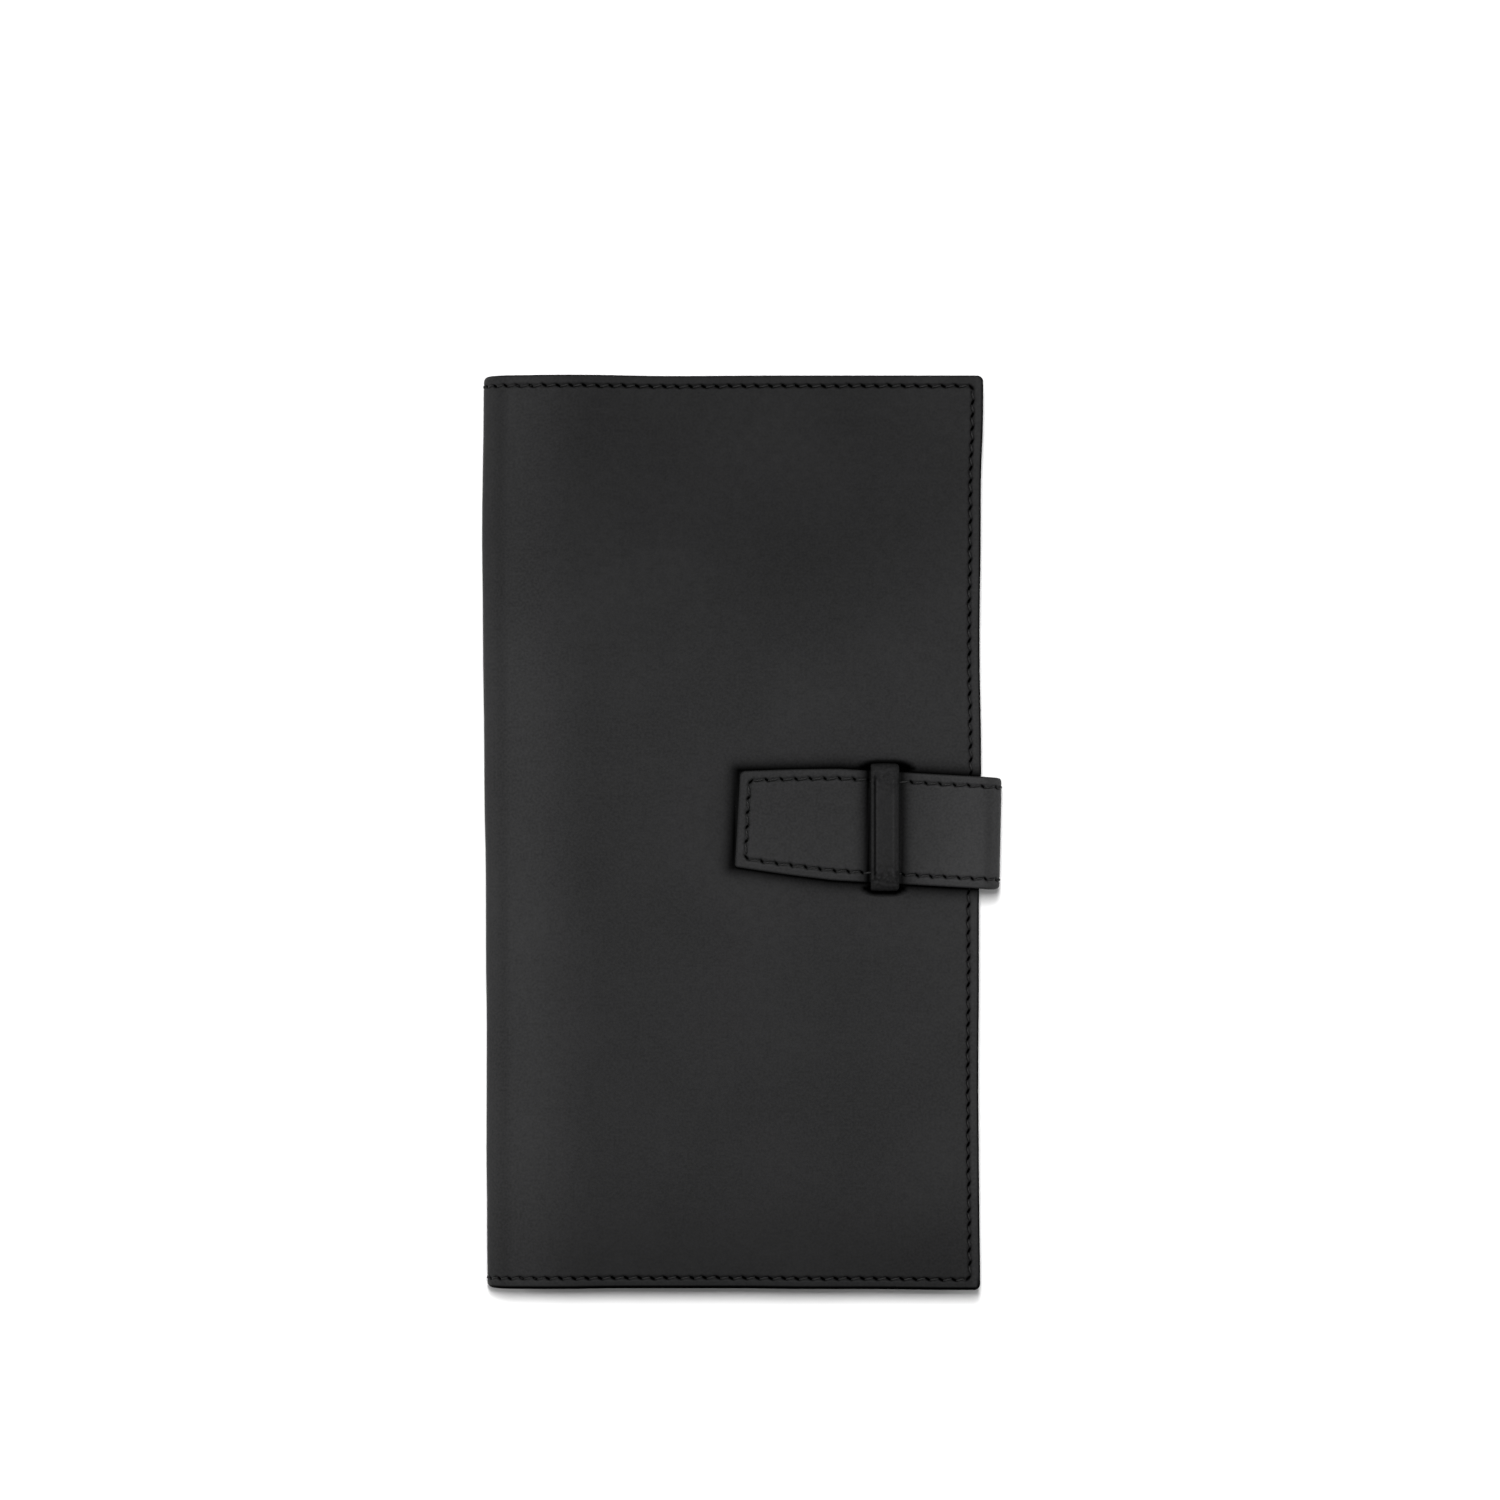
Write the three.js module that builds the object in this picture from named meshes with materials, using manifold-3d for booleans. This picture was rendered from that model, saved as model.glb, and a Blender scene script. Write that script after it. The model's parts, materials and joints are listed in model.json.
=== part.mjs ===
// Travel document holder: two leather covers round a soft spine, closed by a strap that comes round
// the fore edge from the back cover and passes through a loop on the front cover.
//
// Millimetres. The holder lies closed on its back cover: X runs from the spine to the fore edge,
// Y up the page and Z out of the front cover. The origin is the middle of the back cover's outer face.
// Leather that folds is cut on its fold lines, so each half can turn about the outer face of the fold.
import * as THREE from "three";
import { mergeVertices } from "three/addons/utils/BufferGeometryUtils.js";
import Module from "manifold-3d";

// Covers
const COVER_HEIGHT = 230;
const COVER_WIDTH = 125;
const COVER_CORNER_RADIUS = 2.5;
const COVER_LEATHER = 1.3;
const COVER_LINING = 0.7;
const STIFFENER = 0.8;
const STIFFENER_EDGE_MARGIN = 5;
const STIFFENER_SPINE_MARGIN = 2;
const STIFFENER_CLEARANCE = 0.3;
const GLUE_LINE = 0.1;
const SPINE_FLAT = 1;
const FOLD_SLIT = 0.3;

// Pockets on the inside
const DOCUMENT_SPACE = 4.6;
const POCKET_LEATHER = 0.8;
const POCKET_GAP = 0.3;
const POCKET_EDGE_INSET = 0.4;
const TICKET_POCKET_SETBACK = 10;
const BOARDING_POCKET_SETBACK = 18;
const BOARDING_POCKET_HEIGHT = 130;
const SLIP_POCKET_SETBACK = 10;
const PASSPORT_SLEEVE_SETBACK = 26;
const CARD_SLOT_SETBACK = 26;
const CARD_SLOT_COUNT = 4;
const CARD_SLOT_LEATHER = 0.7;
const CARD_SLOT_STEP = 12;
const CARD_SLOT_DEPTH = 50;
const CARD_SLOT_TOP_MARGIN = 13;
const CARD_SLOT_FOOT_MARGIN = 6;

// Strap
const STRAP_WIDTH = 28.2;
const STRAP_TIP_WIDTH = 24.2;
const STRAP_TAPER_LENGTH = 25;
const STRAP_TIP_REACH = 33.2;
const STRAP_SKEW_DEG = 3.2;
const STRAP_FORE_EDGE_Y = -0.2;
const STRAP_LEATHER = 1.4;
const STRAP_LINING = 0.9;
const STRAP_INNER_RADIUS = 2.1;
const STRAP_EDGE_ROOM = 0.7;
const STRAP_COVER_ROOM = 0.3;
const STRAP_TIP_CORNER_RADIUS = 1.2;
const TONGUE_LENGTH = 12;
const TONGUE_LEATHER = 0.8;
const TONGUE_CLEARANCE = 0.2;

// Keeper loop on the front cover
const KEEPER_WIDTH = 7.8;
const KEEPER_LEATHER = 1.2;
const KEEPER_TO_FORE_EDGE = 20;
const KEEPER_SIDE_ROOM = 0.5;
const KEEPER_ROOF_ROOM = 0.3;
const KEEPER_SHOULDER_RADIUS = 1.5;
const KEEPER_FOOT_LENGTH = 5;
const KEEPER_FOOT_LEATHER = 0.6;
const KEEPER_SLIT_CLEARANCE = 0.3;

// Seams
const COVER_SEAM_INSET = 2.5;
const STRAP_SEAM_INSET = 2.45;
const THREAD_WIDTH = 0.6;
const THREAD_THICKNESS = 0.4;
const THREAD_SINK = 0.05;
const SEAM_GROOVE_DEPTH = 0.5;
const SEAM_GROOVE_SIDE_ROOM = 0.2;

// Facets
const BEND_STEPS = 6;
const CORNER_STEPS = 6;
const SAME_POINT = 1e-5;

// Heights through the closed holder
const LINING_DEPTH = COVER_LEATHER + GLUE_LINE;
const STIFFENER_BED_DEPTH = LINING_DEPTH + STIFFENER + GLUE_LINE;
const COVER_STACK = STIFFENER_BED_DEPTH + COVER_LINING;
const POCKET_LAYER = POCKET_GAP + POCKET_LEATHER;
const CARD_LAYER = POCKET_GAP + CARD_SLOT_LEATHER;
const POCKET_LAYERS_LOW_DOWN = 4;
const CLOSED_THICKNESS = 2 * COVER_STACK + POCKET_LAYERS_LOW_DOWN * POCKET_LAYER + DOCUMENT_SPACE;

// Cover edges and the spine's two bends
const FORE_X = COVER_WIDTH / 2;
const TOP_Y = COVER_HEIGHT / 2;
const SPINE_RADIUS = (CLOSED_THICKNESS - SPINE_FLAT) / 2;
const SPINE_BEND_X = SPINE_RADIUS - FORE_X;
const SPINE_SLIT_DEG = THREE.MathUtils.radToDeg(FOLD_SLIT / 2 / SPINE_RADIUS);

// The strap's path round the fore edge
const STRAP_SKEW = THREE.MathUtils.degToRad(STRAP_SKEW_DEG);
const STRAP_SLOPE = Math.tan(STRAP_SKEW);
const STRAP_THICKNESS = STRAP_LEATHER + GLUE_LINE + STRAP_LINING;
const STRAP_OUTER_RADIUS = STRAP_INNER_RADIUS + STRAP_THICKNESS;
const STRAP_BEND_X = FORE_X + STRAP_EDGE_ROOM;
const STRAP_TOP_Z = CLOSED_THICKNESS + STRAP_COVER_ROOM + STRAP_THICKNESS;
const STRAP_UPPER_BEND_Z = STRAP_TOP_Z - STRAP_OUTER_RADIUS;
const TONGUE_Z = COVER_LEATHER + TONGUE_CLEARANCE;
const STRAP_BOTTOM_Z = TONGUE_Z + (TONGUE_LEATHER - STRAP_THICKNESS) / 2;
const STRAP_LOWER_BEND_Z = STRAP_BOTTOM_Z + STRAP_OUTER_RADIUS;
const STRAP_SLIT_DEG = THREE.MathUtils.radToDeg(FOLD_SLIT / 2 / STRAP_OUTER_RADIUS);
const STRAP_FOLD_X = STRAP_BEND_X + STRAP_OUTER_RADIUS * Math.SQRT1_2;
const STRAP_UPPER_FOLD_Z = STRAP_UPPER_BEND_Z + STRAP_OUTER_RADIUS * Math.SQRT1_2;
const STRAP_LOWER_FOLD_Z = STRAP_LOWER_BEND_Z - STRAP_OUTER_RADIUS * Math.SQRT1_2;
const STRAP_HALF_WIDTH_Y = STRAP_WIDTH / 2 / Math.cos(STRAP_SKEW);

// The keeper's place over the strap
const KEEPER_X = FORE_X - KEEPER_TO_FORE_EDGE - KEEPER_WIDTH / 2;
const KEEPER_Y = strapCentreY(KEEPER_X);
const KEEPER_INNER_HALF = STRAP_HALF_WIDTH_Y + STRAP_SLOPE * KEEPER_WIDTH / 2 + KEEPER_SIDE_ROOM;
const KEEPER_OUTER_HALF = KEEPER_INNER_HALF + KEEPER_LEATHER;
const STRAP_TIP_X = KEEPER_X - KEEPER_WIDTH / 2 - STRAP_TIP_REACH;

// A cover's heights are counted as depths from its outer face, and its bend runs from the flat to the fold
const BACK = { z: (depth) => depth, flatDeg: 270, foldDeg: 225 + SPINE_SLIT_DEG };
const FRONT = { z: (depth) => CLOSED_THICKNESS - depth, flatDeg: 90, foldDeg: 135 - SPINE_SLIT_DEG };

const LEATHER_FINISH = { color: 0x2d2d2e, roughness: 0.55, metalness: 0 };
const STRAP_FINISH = { color: 0x323233, roughness: 0.5, metalness: 0 };
const KEEPER_FINISH = { color: 0x29292a, roughness: 0.55, metalness: 0 };
const POCKET_FINISH = { color: 0x27272a, roughness: 0.6, metalness: 0 };
const LINING_FINISH = { color: 0x1f1f21, roughness: 0.75, metalness: 0 };
const STIFFENER_FINISH = { color: 0x8a8175, roughness: 0.9, metalness: 0 };
const THREAD_FINISH = { color: 0x161617, roughness: 0.7, metalness: 0 };

const wasm = await Module();
wasm.setup();

// Shapes

function polygon(points) {
  const distinct = points.filter(([x, y], i) => {
    const [beforeX, beforeY] = points.at(i - 1);
    return Math.hypot(x - beforeX, y - beforeY) > SAME_POINT;
  });
  return new THREE.Shape(distinct.map(([x, y]) => new THREE.Vector2(x, y)));
}

function roundedRectangle(left, bottom, right, top, radius) {
  const shape = new THREE.Shape();
  shape.absarc(right - radius, top - radius, radius, 0, Math.PI / 2);
  shape.absarc(left + radius, top - radius, radius, Math.PI / 2, Math.PI);
  shape.absarc(left + radius, bottom + radius, radius, Math.PI, 1.5 * Math.PI);
  shape.absarc(right - radius, bottom + radius, radius, 1.5 * Math.PI, 2 * Math.PI);
  return shape;
}

function rectangle(left, bottom, right, top) {
  return polygon([[left, bottom], [right, bottom], [right, top], [left, top]]);
}

function arc([x, z], radius, fromDeg, toDeg) {
  return Array.from({ length: BEND_STEPS + 1 }, (_, i) => {
    const angle = THREE.MathUtils.degToRad(fromDeg + (toDeg - fromDeg) * i / BEND_STEPS);
    return [x + radius * Math.cos(angle), z + radius * Math.sin(angle)];
  });
}

// Solids: a shape drawn in XY, XZ or YZ and carried along the third axis

function prism(shape, length) {
  return new THREE.ExtrudeGeometry(shape, {
    depth: length,
    bevelEnabled: false,
    curveSegments: CORNER_STEPS,
  });
}

function prismAlongZ(shape, fromZ, toZ) {
  const low = Math.min(fromZ, toZ);
  return prism(shape, Math.abs(toZ - fromZ)).translate(0, 0, low);
}

function prismAlongY(shape, fromY, toY) {
  return prism(shape, toY - fromY).rotateX(Math.PI / 2).translate(0, toY, 0);
}

function prismAlongX(shape, fromX, toX) {
  const turn = new THREE.Matrix4().makeBasis(
    new THREE.Vector3(0, 1, 0),
    new THREE.Vector3(0, 0, 1),
    new THREE.Vector3(1, 0, 0),
  );
  return prism(shape, toX - fromX).applyMatrix4(turn).translate(fromX, 0, 0);
}

function solidOf(geometry) {
  const bare = geometry.clone();
  bare.deleteAttribute("normal");
  bare.deleteAttribute("uv");
  const merged = mergeVertices(bare, SAME_POINT);
  return new wasm.Manifold(new wasm.Mesh({
    numProp: 3,
    vertProperties: Float32Array.from(merged.attributes.position.array),
    triVerts: Uint32Array.from(merged.index.array),
  }));
}

function geometryOf(solid) {
  const mesh = solid.getMesh();
  const geometry = new THREE.BufferGeometry();
  geometry.setAttribute("position", new THREE.BufferAttribute(Float32Array.from(mesh.vertProperties), 3));
  geometry.setIndex(new THREE.BufferAttribute(Uint32Array.from(mesh.triVerts), 1));
  geometry.computeVertexNormals();
  return geometry;
}

function within(geometry, outline) {
  return geometryOf(solidOf(geometry).intersect(solidOf(outline)));
}

function without(geometry, ...cuts) {
  const left = cuts.reduce((solid, cut) => solid.subtract(solidOf(cut)), solidOf(geometry));
  return geometryOf(left);
}

function piece(name, geometry, finish) {
  const mesh = new THREE.Mesh(geometry, new THREE.MeshStandardMaterial(finish));
  mesh.name = name;
  return mesh;
}

// Covers and spine

function coverOutline() {
  const shape = roundedRectangle(-FORE_X, -TOP_Y, FORE_X, TOP_Y, COVER_CORNER_RADIUS);
  return prismAlongZ(shape, 0, CLOSED_THICKNESS);
}

// One layer of a cover, flat from the fore edge to the spine's bend and then half way round that bend.
function coverLayer(side, depth, bendThickness, flatThickness) {
  const centre = [SPINE_BEND_X, side.z(SPINE_RADIUS)];
  const radius = SPINE_RADIUS - depth;
  const section = polygon([
    [FORE_X, side.z(depth)],
    ...arc(centre, radius, side.flatDeg, side.foldDeg),
    ...arc(centre, radius - bendThickness, side.foldDeg, side.flatDeg),
    [SPINE_BEND_X, side.z(depth + flatThickness)],
    [FORE_X, side.z(depth + flatThickness)],
  ]);
  return within(prismAlongY(section, -TOP_Y, TOP_Y), coverOutline());
}

// One layer of the spine, from the middle of the back's bend to the middle of the front's.
function spineLayer(depth, thickness) {
  const low = [SPINE_BEND_X, BACK.z(SPINE_RADIUS)];
  const high = [SPINE_BEND_X, FRONT.z(SPINE_RADIUS)];
  const radius = SPINE_RADIUS - depth;
  const lowDeg = 225 - SPINE_SLIT_DEG;
  const highDeg = 135 + SPINE_SLIT_DEG;
  const section = polygon([
    ...arc(low, radius, lowDeg, 180),
    ...arc(high, radius, 180, highDeg),
    ...arc(high, radius - thickness, highDeg, 180),
    ...arc(low, radius - thickness, 180, lowDeg),
  ]);
  return within(prismAlongY(section, -TOP_Y, TOP_Y), coverOutline());
}

// The line of a cover's seam: along the top, down the fore edge and back along the bottom.
function coverSeam(side, width, fromX, fromDepth, toDepth) {
  const outer = COVER_SEAM_INSET - width / 2;
  const inner = COVER_SEAM_INSET + width / 2;
  const band = polygon([
    [fromX, TOP_Y - outer],
    [FORE_X - outer, TOP_Y - outer],
    [FORE_X - outer, outer - TOP_Y],
    [fromX, outer - TOP_Y],
    [fromX, inner - TOP_Y],
    [FORE_X - inner, inner - TOP_Y],
    [FORE_X - inner, TOP_Y - inner],
    [fromX, TOP_Y - inner],
  ]);
  return prismAlongZ(band, side.z(fromDepth), side.z(toDepth));
}

function coverThread(side) {
  return coverSeam(side, THREAD_WIDTH, SPINE_BEND_X, THREAD_SINK, THREAD_SINK + THREAD_THICKNESS);
}

function coverLeather(side, ...slits) {
  const grooveWidth = THREAD_WIDTH + 2 * SEAM_GROOVE_SIDE_ROOM;
  const grooveEnd = SPINE_BEND_X - SEAM_GROOVE_SIDE_ROOM;
  const groove = coverSeam(side, grooveWidth, grooveEnd, -SEAM_GROOVE_DEPTH, SEAM_GROOVE_DEPTH);
  const layer = coverLayer(side, 0, COVER_LEATHER, COVER_LEATHER);
  return without(layer, groove, ...slits);
}

function stiffenerPlan(clearance) {
  return rectangle(
    SPINE_BEND_X + STIFFENER_SPINE_MARGIN - clearance,
    STIFFENER_EDGE_MARGIN - TOP_Y - clearance,
    FORE_X - STIFFENER_EDGE_MARGIN + clearance,
    TOP_Y - STIFFENER_EDGE_MARGIN + clearance,
  );
}

function stiffener(side, ...cuts) {
  const board = prismAlongZ(stiffenerPlan(0), side.z(LINING_DEPTH), side.z(LINING_DEPTH + STIFFENER));
  return without(board, ...cuts);
}

// The lining is as thick as the stiffener at the sewn edges and hollowed where the stiffener lies.
function coverLining(side, ...cuts) {
  const layer = coverLayer(side, LINING_DEPTH, COVER_LINING, COVER_STACK - LINING_DEPTH);
  const bed = prismAlongZ(
    stiffenerPlan(STIFFENER_CLEARANCE),
    side.z(COVER_LEATHER),
    side.z(STIFFENER_BED_DEPTH),
  );
  return without(layer, bed, ...cuts);
}

// Pockets

function pocket(side, depth, thickness, setback, bottom, top) {
  const plan = roundedRectangle(
    SPINE_BEND_X + setback,
    bottom,
    FORE_X - POCKET_EDGE_INSET,
    top,
    COVER_CORNER_RADIUS - POCKET_EDGE_INSET,
  );
  return prismAlongZ(plan, side.z(depth), side.z(depth + thickness));
}

const POCKET_TOP = TOP_Y - POCKET_EDGE_INSET;
const POCKET_BOTTOM = -POCKET_TOP;
const FIRST_POCKET_DEPTH = COVER_STACK + POCKET_GAP;
const SECOND_POCKET_DEPTH = FIRST_POCKET_DEPTH + POCKET_LAYER;
const CARD_FOOT =
  POCKET_TOP - CARD_SLOT_TOP_MARGIN - (CARD_SLOT_COUNT - 1) * CARD_SLOT_STEP - CARD_SLOT_DEPTH;

function cardSlots() {
  return Array.from({ length: CARD_SLOT_COUNT }, (_, i) => {
    const depth = SECOND_POCKET_DEPTH + i * CARD_LAYER;
    const top = POCKET_TOP - CARD_SLOT_TOP_MARGIN - i * CARD_SLOT_STEP;
    const slot = pocket(FRONT, depth, CARD_SLOT_LEATHER, CARD_SLOT_SETBACK, CARD_FOOT, top);
    return piece(`card_slot_${i + 1}`, slot, POCKET_FINISH);
  });
}

// Strap

function strapCentreY(x) {
  return STRAP_FORE_EDGE_Y - STRAP_SLOPE * (x - FORE_X);
}

// A point of the strap's top, at a length from the tip and a distance across from the middle line.
function strapPoint(along, across) {
  return [
    STRAP_TIP_X + along * Math.cos(STRAP_SKEW) + across * Math.sin(STRAP_SKEW),
    strapCentreY(STRAP_TIP_X) - along * Math.sin(STRAP_SKEW) + across * Math.cos(STRAP_SKEW),
  ];
}

function strapHalfWidth(along) {
  const taper = Math.min(along / STRAP_TAPER_LENGTH, 1);
  return STRAP_TIP_WIDTH / 2 + taper * (STRAP_WIDTH - STRAP_TIP_WIDTH) / 2;
}

// One long edge of the strap from the tip to past the fore edge, drawn in all round by an inset.
function strapEdge(sign, inset) {
  const pastBend = STRAP_FOLD_X - STRAP_TIP_X + STRAP_OUTER_RADIUS;
  return [inset, STRAP_TAPER_LENGTH, pastBend].map((along) => {
    return strapPoint(along, sign * (strapHalfWidth(along) - inset));
  });
}

function strapPlan() {
  const [tipTop, ...edgeTop] = strapEdge(1, 0);
  const [tipBottom, ...edgeBottom] = strapEdge(-1, 0);
  const halfAtCorner = strapHalfWidth(STRAP_TIP_CORNER_RADIUS);
  const endHalf = STRAP_TIP_WIDTH / 2 - STRAP_TIP_CORNER_RADIUS;
  const shape = new THREE.Shape();
  shape.moveTo(...strapPoint(0, -endHalf));
  shape.quadraticCurveTo(...tipBottom, ...strapPoint(STRAP_TIP_CORNER_RADIUS, -halfAtCorner));
  edgeBottom.forEach((point) => shape.lineTo(...point));
  edgeTop.reverse().forEach((point) => shape.lineTo(...point));
  shape.lineTo(...strapPoint(STRAP_TIP_CORNER_RADIUS, halfAtCorner));
  shape.quadraticCurveTo(...tipTop, ...strapPoint(0, endHalf));
  return shape;
}

function strapSeam(width, toX, fromZ, toZ) {
  const outer = STRAP_SEAM_INSET - width / 2;
  const inner = STRAP_SEAM_INSET + width / 2;
  const band = polygon([
    ...strapEdge(1, outer).reverse(),
    ...strapEdge(-1, outer),
    ...strapEdge(-1, inner).reverse(),
    ...strapEdge(1, inner),
  ]);
  const flatPart = prismAlongZ(rectangle(-FORE_X, -TOP_Y, toX, TOP_Y), fromZ, toZ);
  return within(prismAlongZ(band, fromZ, toZ), flatPart);
}

function strapTabThread() {
  const top = STRAP_TOP_Z - THREAD_SINK;
  return strapSeam(THREAD_WIDTH, FORE_X, top - THREAD_THICKNESS, top);
}

// The part of a strap layer that lies over the front cover and goes half way round the upper bend.
function strapTabLayer(depth, thickness) {
  const centre = [STRAP_BEND_X, STRAP_UPPER_BEND_Z];
  const radius = STRAP_OUTER_RADIUS - depth;
  const foldDeg = 45 + STRAP_SLIT_DEG;
  const section = polygon([
    [-FORE_X, STRAP_TOP_Z - depth],
    [-FORE_X, STRAP_TOP_Z - depth - thickness],
    ...arc(centre, radius - thickness, 90, foldDeg),
    ...arc(centre, radius, foldDeg, 90),
  ]);
  const plan = prismAlongZ(strapPlan(), STRAP_UPPER_BEND_Z, STRAP_TOP_Z);
  return within(prismAlongY(section, -TOP_Y, TOP_Y), plan);
}

function strapTabLeather() {
  const grooveWidth = THREAD_WIDTH + 2 * SEAM_GROOVE_SIDE_ROOM;
  const groove = strapSeam(
    grooveWidth,
    FORE_X + SEAM_GROOVE_SIDE_ROOM,
    STRAP_TOP_Z - SEAM_GROOVE_DEPTH,
    STRAP_TOP_Z + SEAM_GROOVE_DEPTH,
  );
  return without(strapTabLayer(0, STRAP_LEATHER), groove);
}

// The strap keeps its slant as it goes down past the fore edge and back in under the cover.
function strapWrapCentreY(z) {
  return strapCentreY(STRAP_FOLD_X) - STRAP_SLOPE * (STRAP_UPPER_FOLD_Z - z);
}

function strapRootCentreY(x) {
  return strapWrapCentreY(STRAP_LOWER_FOLD_Z) - STRAP_SLOPE * (STRAP_FOLD_X - x);
}

// The part of a strap layer that stands beside the fore edge, from the lower fold to the upper one.
function strapWrapLayer(depth, thickness) {
  const low = [STRAP_BEND_X, STRAP_LOWER_BEND_Z];
  const high = [STRAP_BEND_X, STRAP_UPPER_BEND_Z];
  const radius = STRAP_OUTER_RADIUS - depth;
  const foldDeg = 45 - STRAP_SLIT_DEG;
  const section = polygon([
    ...arc(low, radius, -foldDeg, 0),
    ...arc(high, radius, 0, foldDeg),
    ...arc(high, radius - thickness, foldDeg, 0),
    ...arc(low, radius - thickness, 0, -foldDeg),
  ]);
  const slant = polygon([
    [strapWrapCentreY(0) - STRAP_HALF_WIDTH_Y, 0],
    [strapWrapCentreY(0) + STRAP_HALF_WIDTH_Y, 0],
    [strapWrapCentreY(STRAP_TOP_Z) + STRAP_HALF_WIDTH_Y, STRAP_TOP_Z],
    [strapWrapCentreY(STRAP_TOP_Z) - STRAP_HALF_WIDTH_Y, STRAP_TOP_Z],
  ]);
  const side = prismAlongX(slant, FORE_X, STRAP_BEND_X + STRAP_OUTER_RADIUS);
  return within(prismAlongY(section, -TOP_Y, TOP_Y), side);
}

function strapRootPlan(fromX, toX, clearance) {
  const half = STRAP_HALF_WIDTH_Y + clearance;
  return polygon([
    [fromX, strapRootCentreY(fromX) - half],
    [toX, strapRootCentreY(toX) - half],
    [toX, strapRootCentreY(toX) + half],
    [fromX, strapRootCentreY(fromX) + half],
  ]);
}

// The strap's end: half of the lower bend, pared down to a tongue that goes in at the back's fore edge.
function strapRoot() {
  const centre = [STRAP_BEND_X, STRAP_LOWER_BEND_Z];
  const foldDeg = -45 - STRAP_SLIT_DEG;
  const shoulderX = FORE_X + FOLD_SLIT;
  const tongueEnd = FORE_X - TONGUE_LENGTH;
  const section = polygon([
    [tongueEnd, TONGUE_Z],
    [shoulderX, TONGUE_Z],
    [shoulderX, STRAP_BOTTOM_Z],
    ...arc(centre, STRAP_OUTER_RADIUS, -90, foldDeg),
    ...arc(centre, STRAP_INNER_RADIUS, foldDeg, -90),
    [shoulderX, STRAP_BOTTOM_Z + STRAP_THICKNESS],
    [shoulderX, TONGUE_Z + TONGUE_LEATHER],
    [tongueEnd, TONGUE_Z + TONGUE_LEATHER],
  ]);
  const plan = strapRootPlan(tongueEnd, STRAP_FOLD_X, 0);
  return within(prismAlongY(section, -TOP_Y, TOP_Y), prismAlongZ(plan, 0, STRAP_TOP_Z));
}

function tongueNotch() {
  const fromX = FORE_X - TONGUE_LENGTH - TONGUE_CLEARANCE;
  const plan = strapRootPlan(fromX, STRAP_BEND_X, TONGUE_CLEARANCE);
  return prismAlongZ(plan, COVER_LEATHER, TONGUE_Z + TONGUE_LEATHER + TONGUE_CLEARANCE);
}

// Keeper

// A band that arches over the strap, goes down through two slits in the cover and turns in under it.
function keeper() {
  const footTop = FRONT.z(LINING_DEPTH);
  const footBottom = footTop - KEEPER_FOOT_LEATHER;
  const roofInside = STRAP_TOP_Z + KEEPER_ROOF_ROOM;
  const roofOutside = roofInside + KEEPER_LEATHER;
  const footEnd = KEEPER_INNER_HALF - KEEPER_FOOT_LENGTH;
  const shoulderY = KEEPER_OUTER_HALF - KEEPER_SHOULDER_RADIUS;
  const shoulderZ = roofOutside - KEEPER_SHOULDER_RADIUS;
  const section = polygon([
    [KEEPER_OUTER_HALF, footBottom],
    ...arc([shoulderY, shoulderZ], KEEPER_SHOULDER_RADIUS, 0, 90),
    ...arc([-shoulderY, shoulderZ], KEEPER_SHOULDER_RADIUS, 90, 180),
    [-KEEPER_OUTER_HALF, footBottom],
    [-footEnd, footBottom],
    [-footEnd, footTop],
    [-KEEPER_INNER_HALF, footTop],
    [-KEEPER_INNER_HALF, roofInside],
    [KEEPER_INNER_HALF, roofInside],
    [KEEPER_INNER_HALF, footTop],
    [footEnd, footTop],
    [footEnd, footBottom],
  ]);
  const band = prismAlongX(section, KEEPER_X - KEEPER_WIDTH / 2, KEEPER_X + KEEPER_WIDTH / 2);
  return band.translate(0, KEEPER_Y, 0);
}

// A hole for one of the keeper's ends, reaching from a distance inside its leg to just outside it.
function keeperHole(sign, reachIn, fromDepth, toDepth) {
  const halfX = KEEPER_WIDTH / 2 + KEEPER_SLIT_CLEARANCE;
  const near = KEEPER_Y + sign * (KEEPER_INNER_HALF - reachIn - KEEPER_SLIT_CLEARANCE);
  const far = KEEPER_Y + sign * (KEEPER_OUTER_HALF + KEEPER_SLIT_CLEARANCE);
  const plan = rectangle(
    KEEPER_X - halfX,
    Math.min(near, far),
    KEEPER_X + halfX,
    Math.max(near, far),
  );
  return prismAlongZ(plan, FRONT.z(fromDepth), FRONT.z(toDepth));
}

function keeperSlits() {
  return [1, -1].map((sign) => keeperHole(sign, 0, -GLUE_LINE, LINING_DEPTH));
}

function keeperFootWindows() {
  return [1, -1].map((sign) => keeperHole(sign, KEEPER_FOOT_LENGTH, COVER_LEATHER, STIFFENER_BED_DEPTH));
}

// Assembly: one group for each stretch of the holder that moves as one

const back = new THREE.Group();
back.add(
  piece("back_cover_leather", coverLeather(BACK), LEATHER_FINISH),
  piece("back_seam_thread", coverThread(BACK), THREAD_FINISH),
  piece("back_stiffener", stiffener(BACK, tongueNotch()), STIFFENER_FINISH),
  piece("back_lining", coverLining(BACK, tongueNotch()), LINING_FINISH),
  piece(
    "ticket_pocket",
    pocket(BACK, FIRST_POCKET_DEPTH, POCKET_LEATHER, TICKET_POCKET_SETBACK, POCKET_BOTTOM, POCKET_TOP),
    POCKET_FINISH,
  ),
  piece(
    "boarding_pass_pocket",
    pocket(
      BACK,
      SECOND_POCKET_DEPTH,
      POCKET_LEATHER,
      BOARDING_POCKET_SETBACK,
      POCKET_BOTTOM,
      POCKET_BOTTOM + BOARDING_POCKET_HEIGHT,
    ),
    POCKET_FINISH,
  ),
  piece("strap_root", strapRoot(), STRAP_FINISH),
);

const spine = new THREE.Group();
spine.add(
  piece("spine_leather", spineLayer(0, COVER_LEATHER), LEATHER_FINISH),
  piece("spine_lining", spineLayer(LINING_DEPTH, COVER_LINING), LINING_FINISH),
);

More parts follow.
